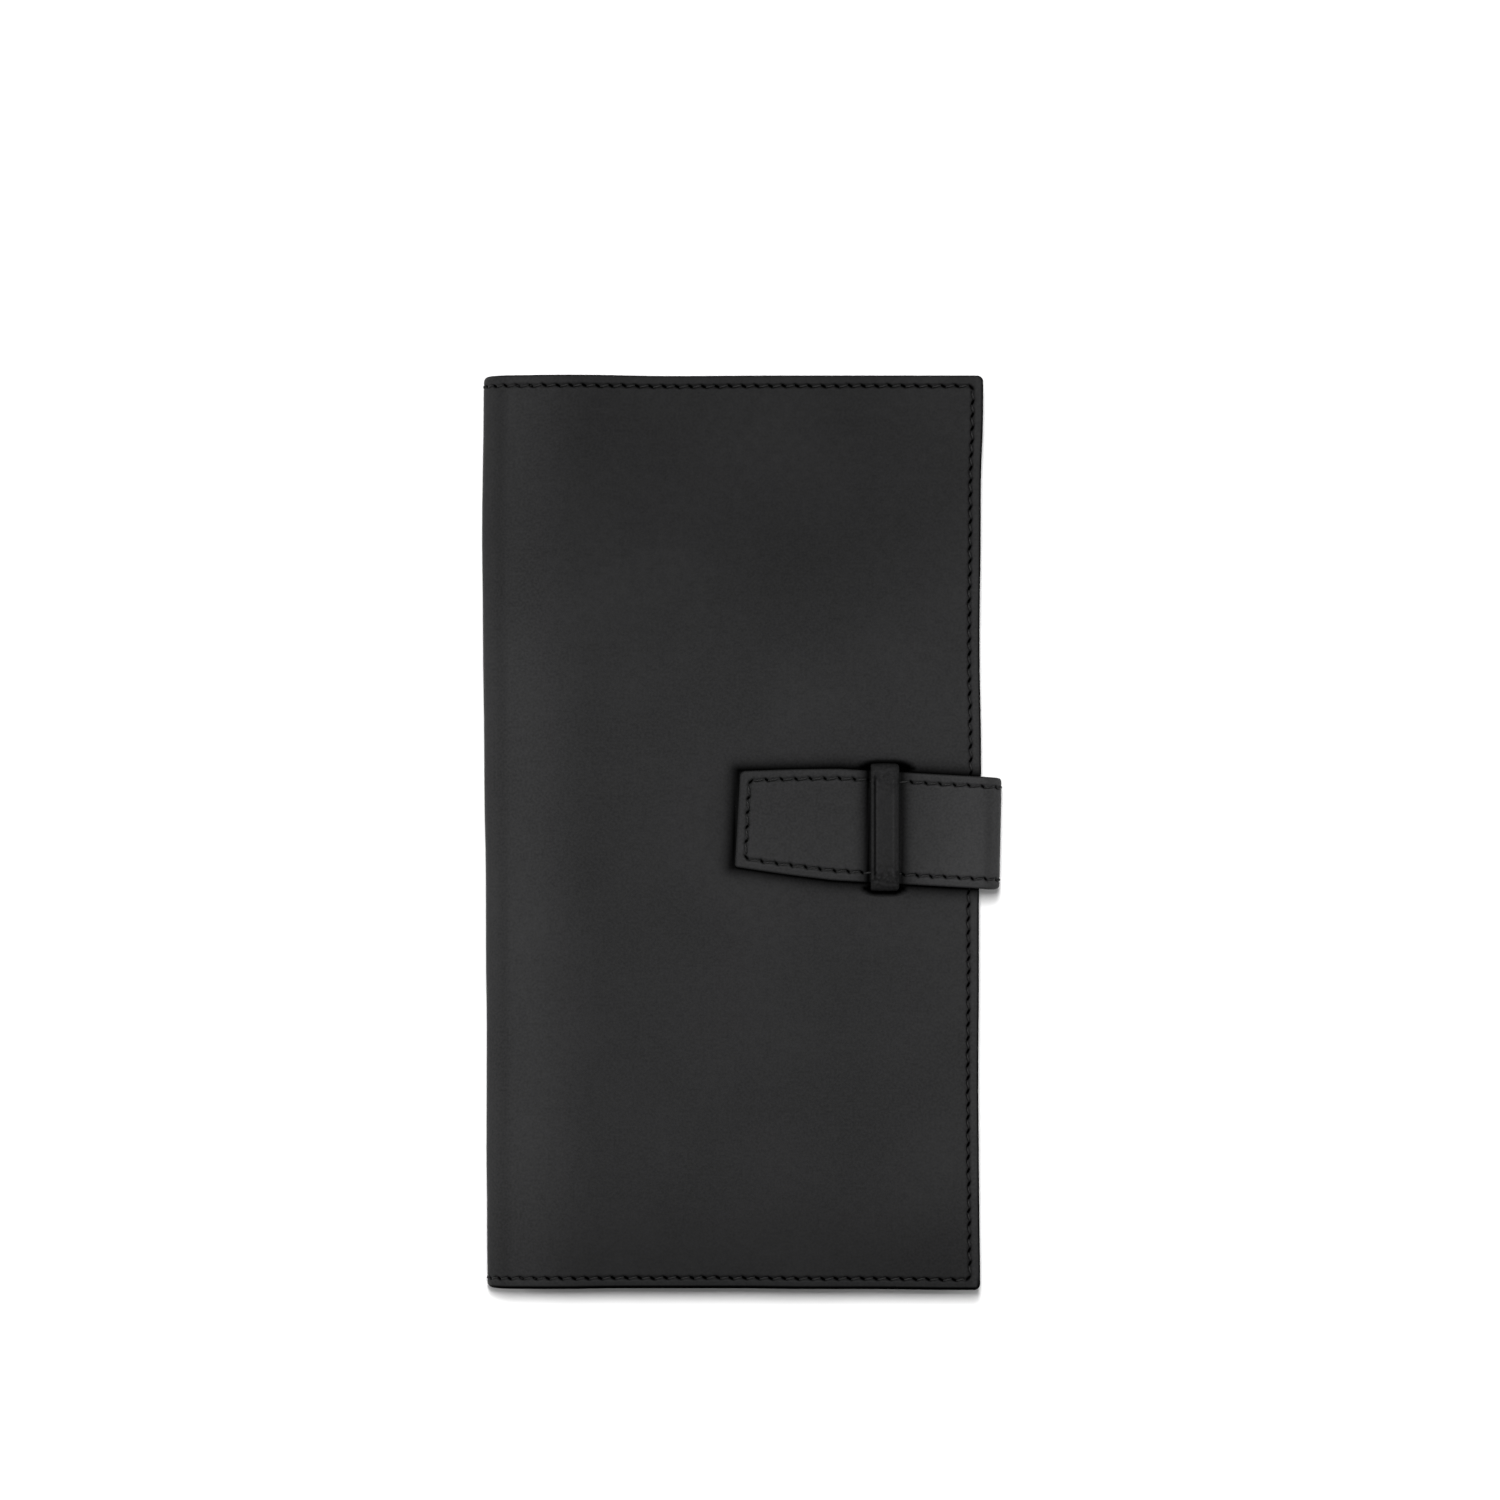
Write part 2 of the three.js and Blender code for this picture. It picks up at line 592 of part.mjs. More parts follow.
const front = new THREE.Group();
front.add(
  piece("front_cover_leather", coverLeather(FRONT, ...keeperSlits()), LEATHER_FINISH),
  piece("front_seam_thread", coverThread(FRONT), THREAD_FINISH),
  piece("front_stiffener", stiffener(FRONT, ...keeperFootWindows()), STIFFENER_FINISH),
  piece("front_lining", coverLining(FRONT), LINING_FINISH),
  piece("keeper_loop", keeper(), KEEPER_FINISH),
  piece(
    "slip_pocket",
    pocket(FRONT, FIRST_POCKET_DEPTH, POCKET_LEATHER, SLIP_POCKET_SETBACK, POCKET_BOTTOM, POCKET_TOP),
    POCKET_FINISH,
  ),
  piece(
    "passport_sleeve",
    pocket(
      FRONT,
      SECOND_POCKET_DEPTH,
      POCKET_LEATHER,
      PASSPORT_SLEEVE_SETBACK,
      POCKET_BOTTOM,
      CARD_FOOT - CARD_SLOT_FOOT_MARGIN,
    ),
    POCKET_FINISH,
  ),
  ...cardSlots(),
);

const strapWrap = new THREE.Group();
strapWrap.add(
  piece("strap_wrap_leather", strapWrapLayer(0, STRAP_LEATHER), STRAP_FINISH),
  piece("strap_wrap_lining", strapWrapLayer(STRAP_LEATHER + GLUE_LINE, STRAP_LINING), LINING_FINISH),
);

const strapTab = new THREE.Group();
strapTab.add(
  piece("strap_tab_leather", strapTabLeather(), STRAP_FINISH),
  piece("strap_tab_thread", strapTabThread(), THREAD_FINISH),
  piece("strap_tab_lining", strapTabLayer(STRAP_LEATHER + GLUE_LINE, STRAP_LINING), LINING_FINISH),
);

const holder = new THREE.Group();
holder.add(back, spine, front, strapWrap, strapTab);

export default holder;
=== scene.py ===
"""Travel document holder in smooth black leather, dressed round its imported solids.

Every leather piece is a flat cut, a set of rings run round its outline with a lattice in the middle, and is
then laid in place by a function that bends the flat leather over the covers, the spine or the fore edge.
Lengths are in metres, in the frame of the solids: X to the fore edge, Y up the page, Z out of the front.
"""
import json
from types import SimpleNamespace

import bmesh
import bpy
import numpy as np
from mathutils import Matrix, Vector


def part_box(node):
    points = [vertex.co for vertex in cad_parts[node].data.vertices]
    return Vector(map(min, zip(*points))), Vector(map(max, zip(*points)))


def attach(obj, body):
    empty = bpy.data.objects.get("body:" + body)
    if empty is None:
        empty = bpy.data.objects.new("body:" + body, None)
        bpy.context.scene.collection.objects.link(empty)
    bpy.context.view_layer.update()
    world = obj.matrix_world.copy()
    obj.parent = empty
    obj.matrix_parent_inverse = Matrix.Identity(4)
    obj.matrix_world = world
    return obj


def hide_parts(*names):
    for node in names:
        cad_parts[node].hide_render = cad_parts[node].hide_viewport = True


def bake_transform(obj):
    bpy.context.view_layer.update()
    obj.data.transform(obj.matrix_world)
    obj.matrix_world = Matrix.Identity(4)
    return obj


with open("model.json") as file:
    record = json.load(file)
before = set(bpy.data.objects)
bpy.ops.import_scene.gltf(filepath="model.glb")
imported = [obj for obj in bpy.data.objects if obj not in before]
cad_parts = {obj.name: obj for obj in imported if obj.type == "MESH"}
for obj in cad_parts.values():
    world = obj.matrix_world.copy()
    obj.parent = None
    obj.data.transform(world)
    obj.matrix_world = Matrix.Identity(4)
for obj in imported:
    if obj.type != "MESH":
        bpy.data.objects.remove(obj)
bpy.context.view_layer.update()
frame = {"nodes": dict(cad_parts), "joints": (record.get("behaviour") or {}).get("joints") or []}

MM = 0.001

# Places taken from the solids; a fold's hinge lies in the middle of its quarter turn
FORE_X, TOP_Y, FRONT_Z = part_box("front_cover_leather")[1]
SPINE_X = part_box("spine_leather")[0].x
HINGES = {joint["name"]: joint["pos_m"] for joint in frame["joints"]}
TURN_SAG = 1 - np.sqrt(0.5)
SPINE_RADIUS = (HINGES["spine_fold"][0] - SPINE_X) / TURN_SAG
SPINE_BEND_X = SPINE_X + SPINE_RADIUS
SPINE_BEND = SPINE_RADIUS * np.pi / 2
COVER_FLAT = FORE_X - SPINE_BEND_X
COVER_REACH = COVER_FLAT + SPINE_BEND + FRONT_Z / 2 - SPINE_RADIUS

# The cover leather and its seam
COVER_LEATHER = 1.3 * MM
COVER_STACK = 3.0 * MM
COVER_CORNER = 1.6 * MM
SPINE_END_ROUND = 1.5 * MM
EDGE_ROUND = 0.42 * MM
SEAM_INSET = 2.66 * MM
STITCH_PITCH = 3.35 * MM

# Edges that aren't quite straight: where along the edge, and how far out of line, in millimetres
SPINE_LEAN = [
    (-115, 0.73), (-60, 0.53), (-20, 0.28), (20, -0.02), (50, -0.27), (80, -0.57), (100, -0.32), (115, -0.1),
]
FORE_LEAN = [
    (-115, 0.2), (-90, -0.1), (-65, -0.3), (-30, -0.15), (18, 0.4), (48, 0.0), (78, 0.3), (115, 0.95),
]
HEAD_LEAN = [(-62, 0.0), (-40, 0.3), (-16, -0.2), (5, 0.0), (62, 0.0)]
TAIL_LEAN = [(-62, -0.3), (-10, -0.1), (30, -0.3), (62, -0.55)]
LEAN_SPREAD = 16

# The strap, from its tip to its root
STRAP_OUTER_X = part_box("strap_wrap_leather")[1].x
STRAP_RADIUS = (STRAP_OUTER_X - HINGES["strap_fold"][0]) / TURN_SAG
STRAP_BEND_X = STRAP_OUTER_X - STRAP_RADIUS
STRAP_TOP_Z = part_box("strap_tab_leather")[1].z
STRAP_UPPER_Z = STRAP_TOP_Z - STRAP_RADIUS
STRAP_BOTTOM_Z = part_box("strap_root")[0].z
STRAP_LOWER_Z = STRAP_BOTTOM_Z + STRAP_RADIUS
STRAP_WALL = STRAP_UPPER_Z - STRAP_LOWER_Z
STRAP_BEND = STRAP_RADIUS * np.pi / 2
STRAP_ROOT = 2 * STRAP_BEND + STRAP_WALL
STRAP_THICKNESS = 2.4 * MM
STRAP_PLY = 1.4 * MM
STRAP_WIDTH = 28.2 * MM
STRAP_TIP_WIDTH = 24.2 * MM
STRAP_TAPER = 25 * MM
STRAP_TIP_CORNERS = (0.7 * MM, 1.2 * MM)
STRAP_SKEW = np.radians(3.2)
STRAP_FORE_EDGE_Y = -0.2 * MM
STRAP_TIP_X = 1.5 * MM
STRAP_TIP_Y = STRAP_FORE_EDGE_Y + (FORE_X - STRAP_TIP_X) * np.tan(STRAP_SKEW)
STRAP_SEAM_INSET = 2.45 * MM
STRAP_PITCH = 3.5 * MM

# The keeper loop, and the slits it goes through: their place up the cover, half length and half gape
KEEPER_LOW, KEEPER_HIGH = (np.array(corner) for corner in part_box("keeper_loop"))
KEEPER_X = (KEEPER_LOW[0] + KEEPER_HIGH[0]) / 2
KEEPER_HALF_WIDTH = (KEEPER_HIGH[0] - KEEPER_LOW[0]) / 2
HEAD_SLIT = (KEEPER_HIGH[1] - 1.13 * MM, 7.4 * MM, 2.0 * MM)
TAIL_SLIT = (KEEPER_LOW[1] + 0.8 * MM, 5.8 * MM, 1.7 * MM)


# Curves and directions

def ramp(value, low, high):
    """0 at low, 1 at high, straight between them and level beyond."""
    return np.clip((value - low) / (high - low), 0, 1)


def smooth_step(value, low, high):
    """0 at low, 1 at high, 3 t^2 - 2 t^3 between them."""
    share = ramp(value, low, high)
    return share * share * (3 - 2 * share)


def bell(value, middle, width):
    """1 at the middle, and exp(-(d / width)^2) at a distance d from it."""
    return np.exp(-((value - middle) / width) ** 2)


def edge_drop(distance, radius):
    """How far a rounded edge lies below the face: r - sqrt(r^2 - (r - e)^2) within r of the edge."""
    short = np.clip(radius - distance, 0, radius)
    return radius - np.sqrt(np.maximum(radius * radius - short * short, 0))


def level(height):
    """The same lift all over the leather."""

    def lift(flat):
        return np.full(flat.shape[:-1], height)

    return lift


def unit(ways):
    """Vectors brought to a length of 1."""
    return ways / np.linalg.norm(ways, axis=-1, keepdims=True)


def left_of(ways):
    """Flat vectors after a quarter turn to the left."""
    return np.stack([-ways[..., 1], ways[..., 0]], -1)


# Flat leather: rings round an outline and a lattice inside them

WELD = 0.0001 * MM
SHARP_ANGLE = np.radians(55)
LEAST_STEPS = 2
LATTICE_ENDS = (0.01, 0.99)
LATTICE_DIGITS = 5
COARSE_LATTICE = 12


def drawn_in(corners, insets):
    """Corners of an anticlockwise outline after each edge has moved inwards by each inset: the corner plus
    the inset times the sum of its two inward normals over one plus their dot product."""
    inward = left_of(unit(np.roll(corners, -1, 0) - corners))
    before = np.roll(inward, 1, 0)
    mitre = (inward + before) / (1 + np.sum(inward * before, 1, keepdims=True))
    return corners + np.asarray(insets)[:, None, None] * mitre


def rings_of(corners, counts, insets):
    """Rows of points round the outline, one row for each inset, with counts[k] even steps on edge k."""
    rows = drawn_in(corners, insets)
    steps = np.roll(rows, -1, 1) - rows
    edges = [
        rows[:, [k]] + steps[:, [k]] * np.linspace(0, 1, n, endpoint=False)[None, :, None]
        for k, n in enumerate(counts)
    ]
    return np.concatenate(edges, 1)


def round_off(flat, corner, inward_a, inward_b, radius):
    """A square corner drawn to a round one: with u and v the nearness to the two edges, from 0 at one radius
    to 1 at the edge, the square (u, v) becomes the quarter disc (u sqrt(1 - v^2/2), v sqrt(1 - u^2/2))."""
    u = 1 - (flat - corner) @ inward_a / radius
    v = 1 - (flat - corner) @ inward_b / radius
    inside = (u > 0) & (v > 0)
    u = np.where(inside, np.minimum(u, 1), 0)
    v = np.where(inside, np.minimum(v, 1), 0)
    move_a = radius * u * (1 - np.sqrt(1 - v * v / 2))
    move_b = radius * v * (1 - np.sqrt(1 - u * u / 2))
    return flat + move_a[..., None] * inward_a + move_b[..., None] * inward_b


def numbered(shape, first=0):
    """Vertex numbers for an array of points of that shape."""
    return first + np.arange(np.prod(shape)).reshape(shape)


def closed(ids):
    """Rows of vertex numbers that come back to their first."""
    return np.concatenate([ids, ids[..., :1]], -1)


def quads(ids):
    """Four-sided faces of a grid of vertex numbers, or of a stack of grids."""
    corners = [ids[..., :-1, :-1], ids[..., :-1, 1:], ids[..., 1:, 1:], ids[..., 1:, :-1]]
    return np.stack(corners, -1).reshape(-1, 4)


def zipped(one, one_at, other, other_at):
    """Triangles between two rows of vertex numbers at shares one_at and other_at: every step along either row
    makes a triangle with the point then reached on the other, in the order of the steps' middles."""
    middles = np.concatenate([one_at[:-1] + one_at[1:], other_at[:-1] + other_at[1:]])
    order = np.argsort(middles, kind="stable")
    on_one = order < len(one) - 1
    i = np.cumsum(on_one) - on_one
    j = np.cumsum(~on_one) - ~on_one
    step_one = np.stack([one[i], one[np.minimum(i + 1, len(one) - 1)], other[j]], -1)
    step_other = np.stack([other[j], other[np.minimum(j + 1, len(other) - 1)], one[i]], -1)
    return np.where(on_one[:, None], step_one, step_other)


def length_share(points):
    """How much of a row's whole length lies before each of its points."""
    length = np.concatenate([[0], np.cumsum(np.linalg.norm(np.diff(points, axis=0), axis=1))])
    return length / length[-1]


def lattice_lines(count, low=0, high=1, *places):
    """Even shares from near 0 to near 1, and more at places where the leather needs them: the share of a
    place is its way from low to high."""
    shares = [(np.asarray(place) - low) / (high - low) for place in places]
    return np.unique(np.round(np.concatenate([np.linspace(*LATTICE_ENDS, count), *shares]), LATTICE_DIGITS))


def lattice(flat, ids, sides, across, along, first):
    """Points, squares and triangles that fill the innermost ring: at shares a along and b across, the point
    is (1 - b) times the first side at a plus b times the third side at a. sides says where in the ring its
    four sides start."""
    runs = [np.arange(a, b + 1) % len(ids) for a, b in zip(sides[:-1], sides[1:])]
    share = [length_share(flat[run]) for run in runs]
    far_run = runs[2][::-1]
    far_share = 1 - share[2][::-1]
    near_side = np.stack([np.interp(along, share[0], flat[runs[0], k]) for k in range(2)], -1)
    far_side = np.stack([np.interp(along, far_share, flat[far_run, k]) for k in range(2)], -1)
    b = across[None, :, None]
    points = (1 - b) * near_side[:, None] + b * far_side[:, None]
    grid = numbered(points.shape[:2], first)
    rims = [
        (ids[runs[0]], share[0], grid[:, 0], along),
        (ids[runs[1]], share[1], grid[-1], across),
        (ids[far_run], far_share, grid[:, -1], along),
        (ids[runs[3][::-1]], 1 - share[3][::-1], grid[0], across),
    ]
    ties = np.concatenate([zipped(*rim) for rim in rims])
    return points.reshape(-1, 2), quads(grid), ties


def in_scene(name, data):
    """A new object of the scene."""
    thing = bpy.data.objects.new(name, data)
    bpy.context.scene.collection.objects.link(thing)
    return thing


def mesh_piece(name, points, faces, flat, marks=None):
    """A closed mesh object: flat is kept as the UV map named cut, and marks as point attributes."""
    mesh = bpy.data.meshes.new(name)
    mesh.from_pydata(points.reshape(-1, 3), [], sum((part.tolist() for part in faces), []))
    corner = np.zeros(len(mesh.loops), np.int32)
    mesh.loops.foreach_get("vertex_index", corner)
    uv = mesh.uv_layers.new(name="cut")
    uv.data.foreach_set("uv", np.asarray(flat, np.float32)[corner].ravel())
    for mark_name, values in (marks or {}).items():
        layer = mesh.attributes.new(mark_name, "FLOAT", "POINT")
        layer.data.foreach_set("value", np.asarray(values, np.float32).ravel())
    shell = bmesh.new()
    shell.from_mesh(mesh)
    bmesh.ops.remove_doubles(shell, verts=shell.verts, dist=WELD)
    bmesh.ops.recalc_face_normals(shell, faces=shell.faces)
    shell.to_mesh(mesh)
    shell.free()
    mesh.shade_smooth()
    mesh.set_sharp_from_angle(angle=SHARP_ANGLE)
    return in_scene(name, mesh)


class Cut:
    """A flat piece of leather: its outline, anticlockwise, as four sides, each a list of corners, with the
    step between points on each side or on each of its edges, and the corners that are rounded off. An edge
    has the number of the corner that it starts from."""

    def __init__(self, sides, steps, rounded=()):
        self.corners = np.array([corner for side in sides for corner in side], float)
        ahead = np.roll(self.corners, -1, 0) - self.corners
        step = np.concatenate([np.broadcast_to(step, len(side)) for side, step in zip(sides, steps)])
        counts = np.rint(np.linalg.norm(ahead, axis=1) / step)
        self.counts = np.maximum(LEAST_STEPS, counts).astype(int)
        self.first_edges = np.concatenate([[0], np.cumsum([len(side) for side in sides])])
        self.inward = left_of(unit(ahead))
        self.rounded = rounded

    def sides(self):
        """Where each side starts in a ring of points, and where the last one ends."""
        return np.concatenate([[0], np.cumsum(self.counts)])[self.first_edges]

    def soften(self, flat):
        """The points of the cut after its corners have been rounded off."""
        for k, radius in self.rounded:
            flat = round_off(flat, self.corners[k], self.inward[k], self.inward[k - 1], radius)
        return flat

    def edge_distance(self, flat, edges):
        """Distance to the nearest of the numbered edges, or to the arc at a rounded corner between two."""
        away = np.stack([(flat - corner) @ inward for corner, inward in zip(self.corners, self.inward)])
        nearest = away[list(edges)].min(0)
        for k, radius in self.rounded:
            short, short_before = radius - away[k], radius - away[k - 1]
            in_corner = (short > 0) & (short_before > 0)
            nearest = np.where(in_corner, radius - np.hypot(short, short_before), nearest)
        return nearest


def laid_leather(name, cut, place, top, under, marks, rings, under_rings, lines, wall=()):
    """A closed piece of leather. top and under give the lift of each face over the flat cut, rings and
    under_rings the insets of their rows from the edge inwards, wall the inset and lift of rows between them,
    and lines the lattice of the top. place(flat, lift) bends the cut into shape, and marks gives point
    attributes from the flat cut and the face."""
    insets = [*under_rings[::-1], *(inset for inset, _ in wall), *rings]
    flat = cut.soften(rings_of(cut.corners, cut.counts, insets))
    n_under = len(under_rings)
    lift = top(flat)
    lift[:n_under] = under(flat[:n_under])
    for row, (_, height) in enumerate(wall, n_under):
        lift[row] = height
    ids = numbered(lift.shape)
    faces = [quads(closed(ids))]
    flats = [flat.reshape(-1, 2)]
    lifts = [lift.ravel()]
    on_top = [np.repeat(np.arange(len(insets)) >= n_under + len(wall), lift.shape[1])]
    coarse = lattice_lines(COARSE_LATTICE)
    for row, face, face_lines in ((-1, top, lines), (0, under, (coarse, coarse))):
        first = sum(len(part) for part in flats)
        points, squares, ties = lattice(flat[row], ids[row], cut.sides(), *face_lines, first)
        faces += [squares, ties]
        flats.append(points)
        lifts.append(face(points))
        on_top.append(np.full(len(points), face is top))
    flat = np.concatenate(flats)
    laid = place(flat, np.concatenate(lifts))
    return mesh_piece(name, laid, faces, flat, marks(flat, np.concatenate(on_top)))


def leather_marks(on_top, shade, paint, **more):
    """Marks of a leather piece: painted shade on its face alone, and edge paint there and all over the rest.
    """
    return {"seam_shade": shade * on_top, "edge_paint": np.where(on_top, paint, 1), **more}


# Sewing

# Holes: their lean to the left, their length and width, and how far from their middle the thread comes out
COVER_HOLES = (np.radians(28), 0.68 * MM, 0.23 * MM, 0.62 * MM)
STRAP_HOLES = (-np.radians(38), 0.57 * MM, 0.23 * MM, 0.44 * MM)

# The leather and the thread along a seam
HOLE_DEPTH = 0.8 * MM
HOLE_STRAY = 0.05 * MM
STRAIGHT_ON = 0.9
CORNER_CUT = 0.7 * MM
GROOVE_WIDTH = 0.42 * MM
GROOVE_DEPTH = 0.22 * MM
THREAD_HALF_WIDTH = 0.26 * MM
THREAD_HALF_HEIGHT = 0.17 * MM
THREAD_SUNK = -0.14 * MM
LINING_THREAD_SUNK = 0.06 * MM
FOLD_THREAD_RISE = 0.22 * MM
THREAD_DIP = 0.32 * MM
THREAD_TIP = 0.25
THREAD_RINGS = 9
THREAD_SIDES = 8
BED_MARGIN = 0.13 * MM
BED_LIP = 0.12 * MM
BED_SHIFT = 0.06 * MM
PUCKER_AWAY = 0.75 * MM
PUCKER_WIDTH = 0.4 * MM
PUCKER_RISE = 0.03 * MM
EDGE_THINNING = 0.03 * MM
SWELL_RISE = 0.03 * MM
SWELL_WIDTH = 3 * MM


class Seam:
    """A row of stitches along straight runs on the flat leather. Each run has a whole number of stitches,
    and its holes stand a little off the line, as they do under a sewing machine. Where the line turns, the
    runs stop short of the corner and one long hole lies across it."""

    def __init__(self, lines, pitch, seed, holes=COVER_HOLES):
        chance = np.random.default_rng(seed)
        self.runs = []
        self.turns = []
        self.slant, self.hole_length, self.hole_width, self.thread_start = holes
        for line in lines:
            self.add_line(np.asarray(line, float), pitch, chance)

    def add_line(self, corners, pitch, chance):
        """Adds the runs between a line's corners, and the holes across those where it turns."""
        ways = unit(np.diff(corners, axis=0))
        turning = np.sum(ways[:-1] * ways[1:], 1) < STRAIGHT_ON
        self.turns += [
            (corner + CORNER_CUT / 2 * (after - before), unit(before + after))
            for corner, before, after, turns in zip(corners[1:-1], ways[:-1], ways[1:], turning) if turns
        ]
        cut_before = CORNER_CUT * np.concatenate([[False], turning])
        cut_after = CORNER_CUT * np.concatenate([turning, [False]])
        for start, end, way, before, after in zip(corners[:-1], corners[1:], ways, cut_before, cut_after):
            start = start + before * way
            end = end - after * way
            length = np.linalg.norm(end - start)
            count = max(1, int(round(length / pitch)))
            ahead = (end - start) / length
            stray = chance.normal(0, HOLE_STRAY, (2, count + 1))
            stray[:, [0, -1]] = 0
            self.runs.append(SimpleNamespace(
                start=start, ahead=ahead, left=left_of(ahead), length=length, step=length / count,
                first=int(before > 0), last=count - int(after > 0),
                holes=np.arange(count + 1) * length / count + stray[0], off=stray[1],
            ))

    def greatest(self, flat, of_run):
        """The greatest value over all runs; of_run gives it from a run and the distances along it and to its
        left."""
        values = []
        for run in self.runs:
            away = flat - run.start
            values.append(of_run(run, away @ run.ahead, away @ run.left))
        return np.max(values, 0)

    def groove(self, flat):
        """The dip along the seam: a bell of the distance from its line."""

        def dip(run, s, d):
            past = np.maximum(0, np.maximum(-s, s - run.length))
            return bell(np.hypot(d, past), 0, GROOVE_WIDTH)

        return self.greatest(flat, dip)

    def holes(self, flat):
        """The slanted holes, and those across corners: exp(-(p / length)^2 - (q / width)^2) in coordinates
        turned to lie along and across the hole."""

        def hole(run, s, d):
            k = np.clip(np.rint(s / run.step), run.first, run.last).astype(int)
            ds = s - run.holes[k]
            dd = d - run.off[k]
            p = ds * np.cos(self.slant) + dd * np.sin(self.slant)
            q = dd * np.cos(self.slant) - ds * np.sin(self.slant)
            return bell(p, 0, self.hole_length) * bell(q, 0, self.hole_width)

        depth = self.greatest(flat, hole)
        for middle, way in self.turns:
            p = (flat - middle) @ way
            q = (flat - middle) @ left_of(way)
            depth = np.maximum(depth, bell(p, 0, CORNER_CUT) * bell(q, 0, self.hole_width))
        return depth

    def thread_ends(self, run):
        """Where the stitches of a run start and end, as distances along it and to its left: from the far end
        of one slanted hole to the near end of the next."""
        along = self.thread_start * np.cos(self.slant)
        aside = self.thread_start * np.sin(self.slant)
        start = np.stack([run.holes[:-1] + along, run.off[:-1] + aside], -1)
        end = np.stack([run.holes[1:] - along, run.off[1:] - aside], -1)
        return start, end

    def bed(self, flat):
        """Where shade is painted in the groove round the thread: 1 in a lens round each stitch, whose half
        width is the thread's and a margin times sqrt(sin(pi t)) at share t, and 0 outside a soft lip."""

        def lens(run, s, d):
            start, end = self.thread_ends(run)
            k = np.clip(np.floor(s / run.step), 0, len(start) - 1).astype(int)
            share = ramp(s, start[k, 0], end[k, 0])
            middle = start[k, 1] + (end[k, 1] - start[k, 1]) * share
            half = (THREAD_HALF_WIDTH + BED_MARGIN) * np.sqrt(np.sin(np.pi * share))
            inside = ramp(half - np.abs(d - middle - BED_SHIFT), 0, BED_LIP)
            return np.where((s > 0) & (s < run.length), inside, 0)

        return self.greatest(flat, lens)

    def shade(self, flat, bed_shade, hole_shade):
        """Painted shade of the sewing: in the grooves round the stitches and in the holes, each with its own
        weight.
        """
        return np.clip(bed_shade * self.bed(flat) + hole_shade * self.holes(flat), 0, 1)

    def pucker(self, flat):
        """Leather pushed up beside the middle of each stitch: (1 - cos) along it, a bell on either side."""

        def swell(run, s, d):
            beside = bell(np.abs(d), PUCKER_AWAY, PUCKER_WIDTH)
            wave = (1 - np.cos(2 * np.pi * s / run.step)) / 2
            return np.where((s > 0) & (s < run.length), beside * wave, 0)

        return self.greatest(flat, swell)

    def threads(self, name, place, base, up=1):
        """One bent tube for each stitch. Its middle line goes from hole to hole, from one end of a slanted
        hole to the other end of the next, dips into both, and lies at the lift that base gives between them.
        up is -1 for stitches on the leather's other face."""
        starts, ends = [], []
        for run in self.runs:
            start, end = self.thread_ends(run)
            axes = np.stack([run.ahead, run.left])
            starts.append(run.start + start @ axes)
            ends.append(run.start + end @ axes)
        start = np.concatenate(starts)[:, None]
        end = np.concatenate(ends)[:, None]
        share = np.linspace(0, 1, THREAD_RINGS)[None, :, None]
        middle = start + (end - start) * share
        left = left_of(unit(end - start))
        arch = np.sqrt(np.clip(np.sin(np.pi * share[..., 0]), 0, 1))
        height = base(middle) - up * (1 - arch) * THREAD_DIP
        turn = np.linspace(0, 2 * np.pi, THREAD_SIDES, endpoint=False)
        thin = THREAD_TIP + (1 - THREAD_TIP) * arch[..., None]
        flat = middle[:, :, None] + (THREAD_HALF_WIDTH * thin * np.cos(turn))[..., None] * left[:, :, None]
        lift = height[..., None] + THREAD_HALF_HEIGHT * thin * np.sin(turn)
        ids = numbered((len(start), THREAD_RINGS, THREAD_SIDES))
        caps = np.concatenate([ids[:, 0], ids[:, -1]])
        twist = np.stack(np.broadcast_arrays(turn / (2 * np.pi), share), -1)
        twist = np.broadcast_to(twist, (*ids.shape, 2))
        points = place(flat.reshape(-1, 2), np.broadcast_to(lift, ids.shape).ravel())
        return mesh_piece(name, points, [quads(closed(ids)), caps], twist.reshape(-1, 2))


def sewn_face(cut, seam, free_edges, flat, inset):
    """Lift of a sewn leather face: rounded at its free edges, drawn down along the seam and into its holes,
    puckered beside its stitches, thinner outside the seam and swelling gently inside it."""
    edge = cut.edge_distance(flat, free_edges)
    outside = ramp(edge, inset, 0)
    inside = 1 - np.exp(-np.clip(edge - inset, 0, None) / SWELL_WIDTH)
    lift = SWELL_RISE * inside - EDGE_THINNING * outside ** 2 - edge_drop(edge, EDGE_ROUND)
    lift = lift - GROOVE_DEPTH * seam.groove(flat) - HOLE_DEPTH * seam.holes(flat)
    return lift + PUCKER_RISE * seam.pucker(flat)


# Covers, spine and lining

# Outline and rings of a cover's cut
TAIL_EDGE, HEAD_EDGE, FORE_EDGE = 0, 4, 5
COVER_EDGES = (TAIL_EDGE, HEAD_EDGE, FORE_EDGE)
FINE = 0.21 * MM
PLAIN = 4 * MM
SPINE_END = 7 * MM
MARGIN_RINGS = MM * np.array([0.0, 0.04, 0.13, 0.28, 0.55, 0.95, 1.4, 1.8])
STITCH_RINGS = MM * np.array([
    -0.7, -0.53, -0.4, -0.27, -0.13, 0.0, 0.13, 0.27, 0.4, 0.53, 0.7, 0.95, 1.3, 1.75, 2.25,
])
SEAM_RINGS = np.concatenate([MARGIN_RINGS, SEAM_INSET + STITCH_RINGS])
COVER_UNDER_RINGS = MM * np.array([0.06, 2.0])
EDGE_WALL_LOW = 0.06 * MM

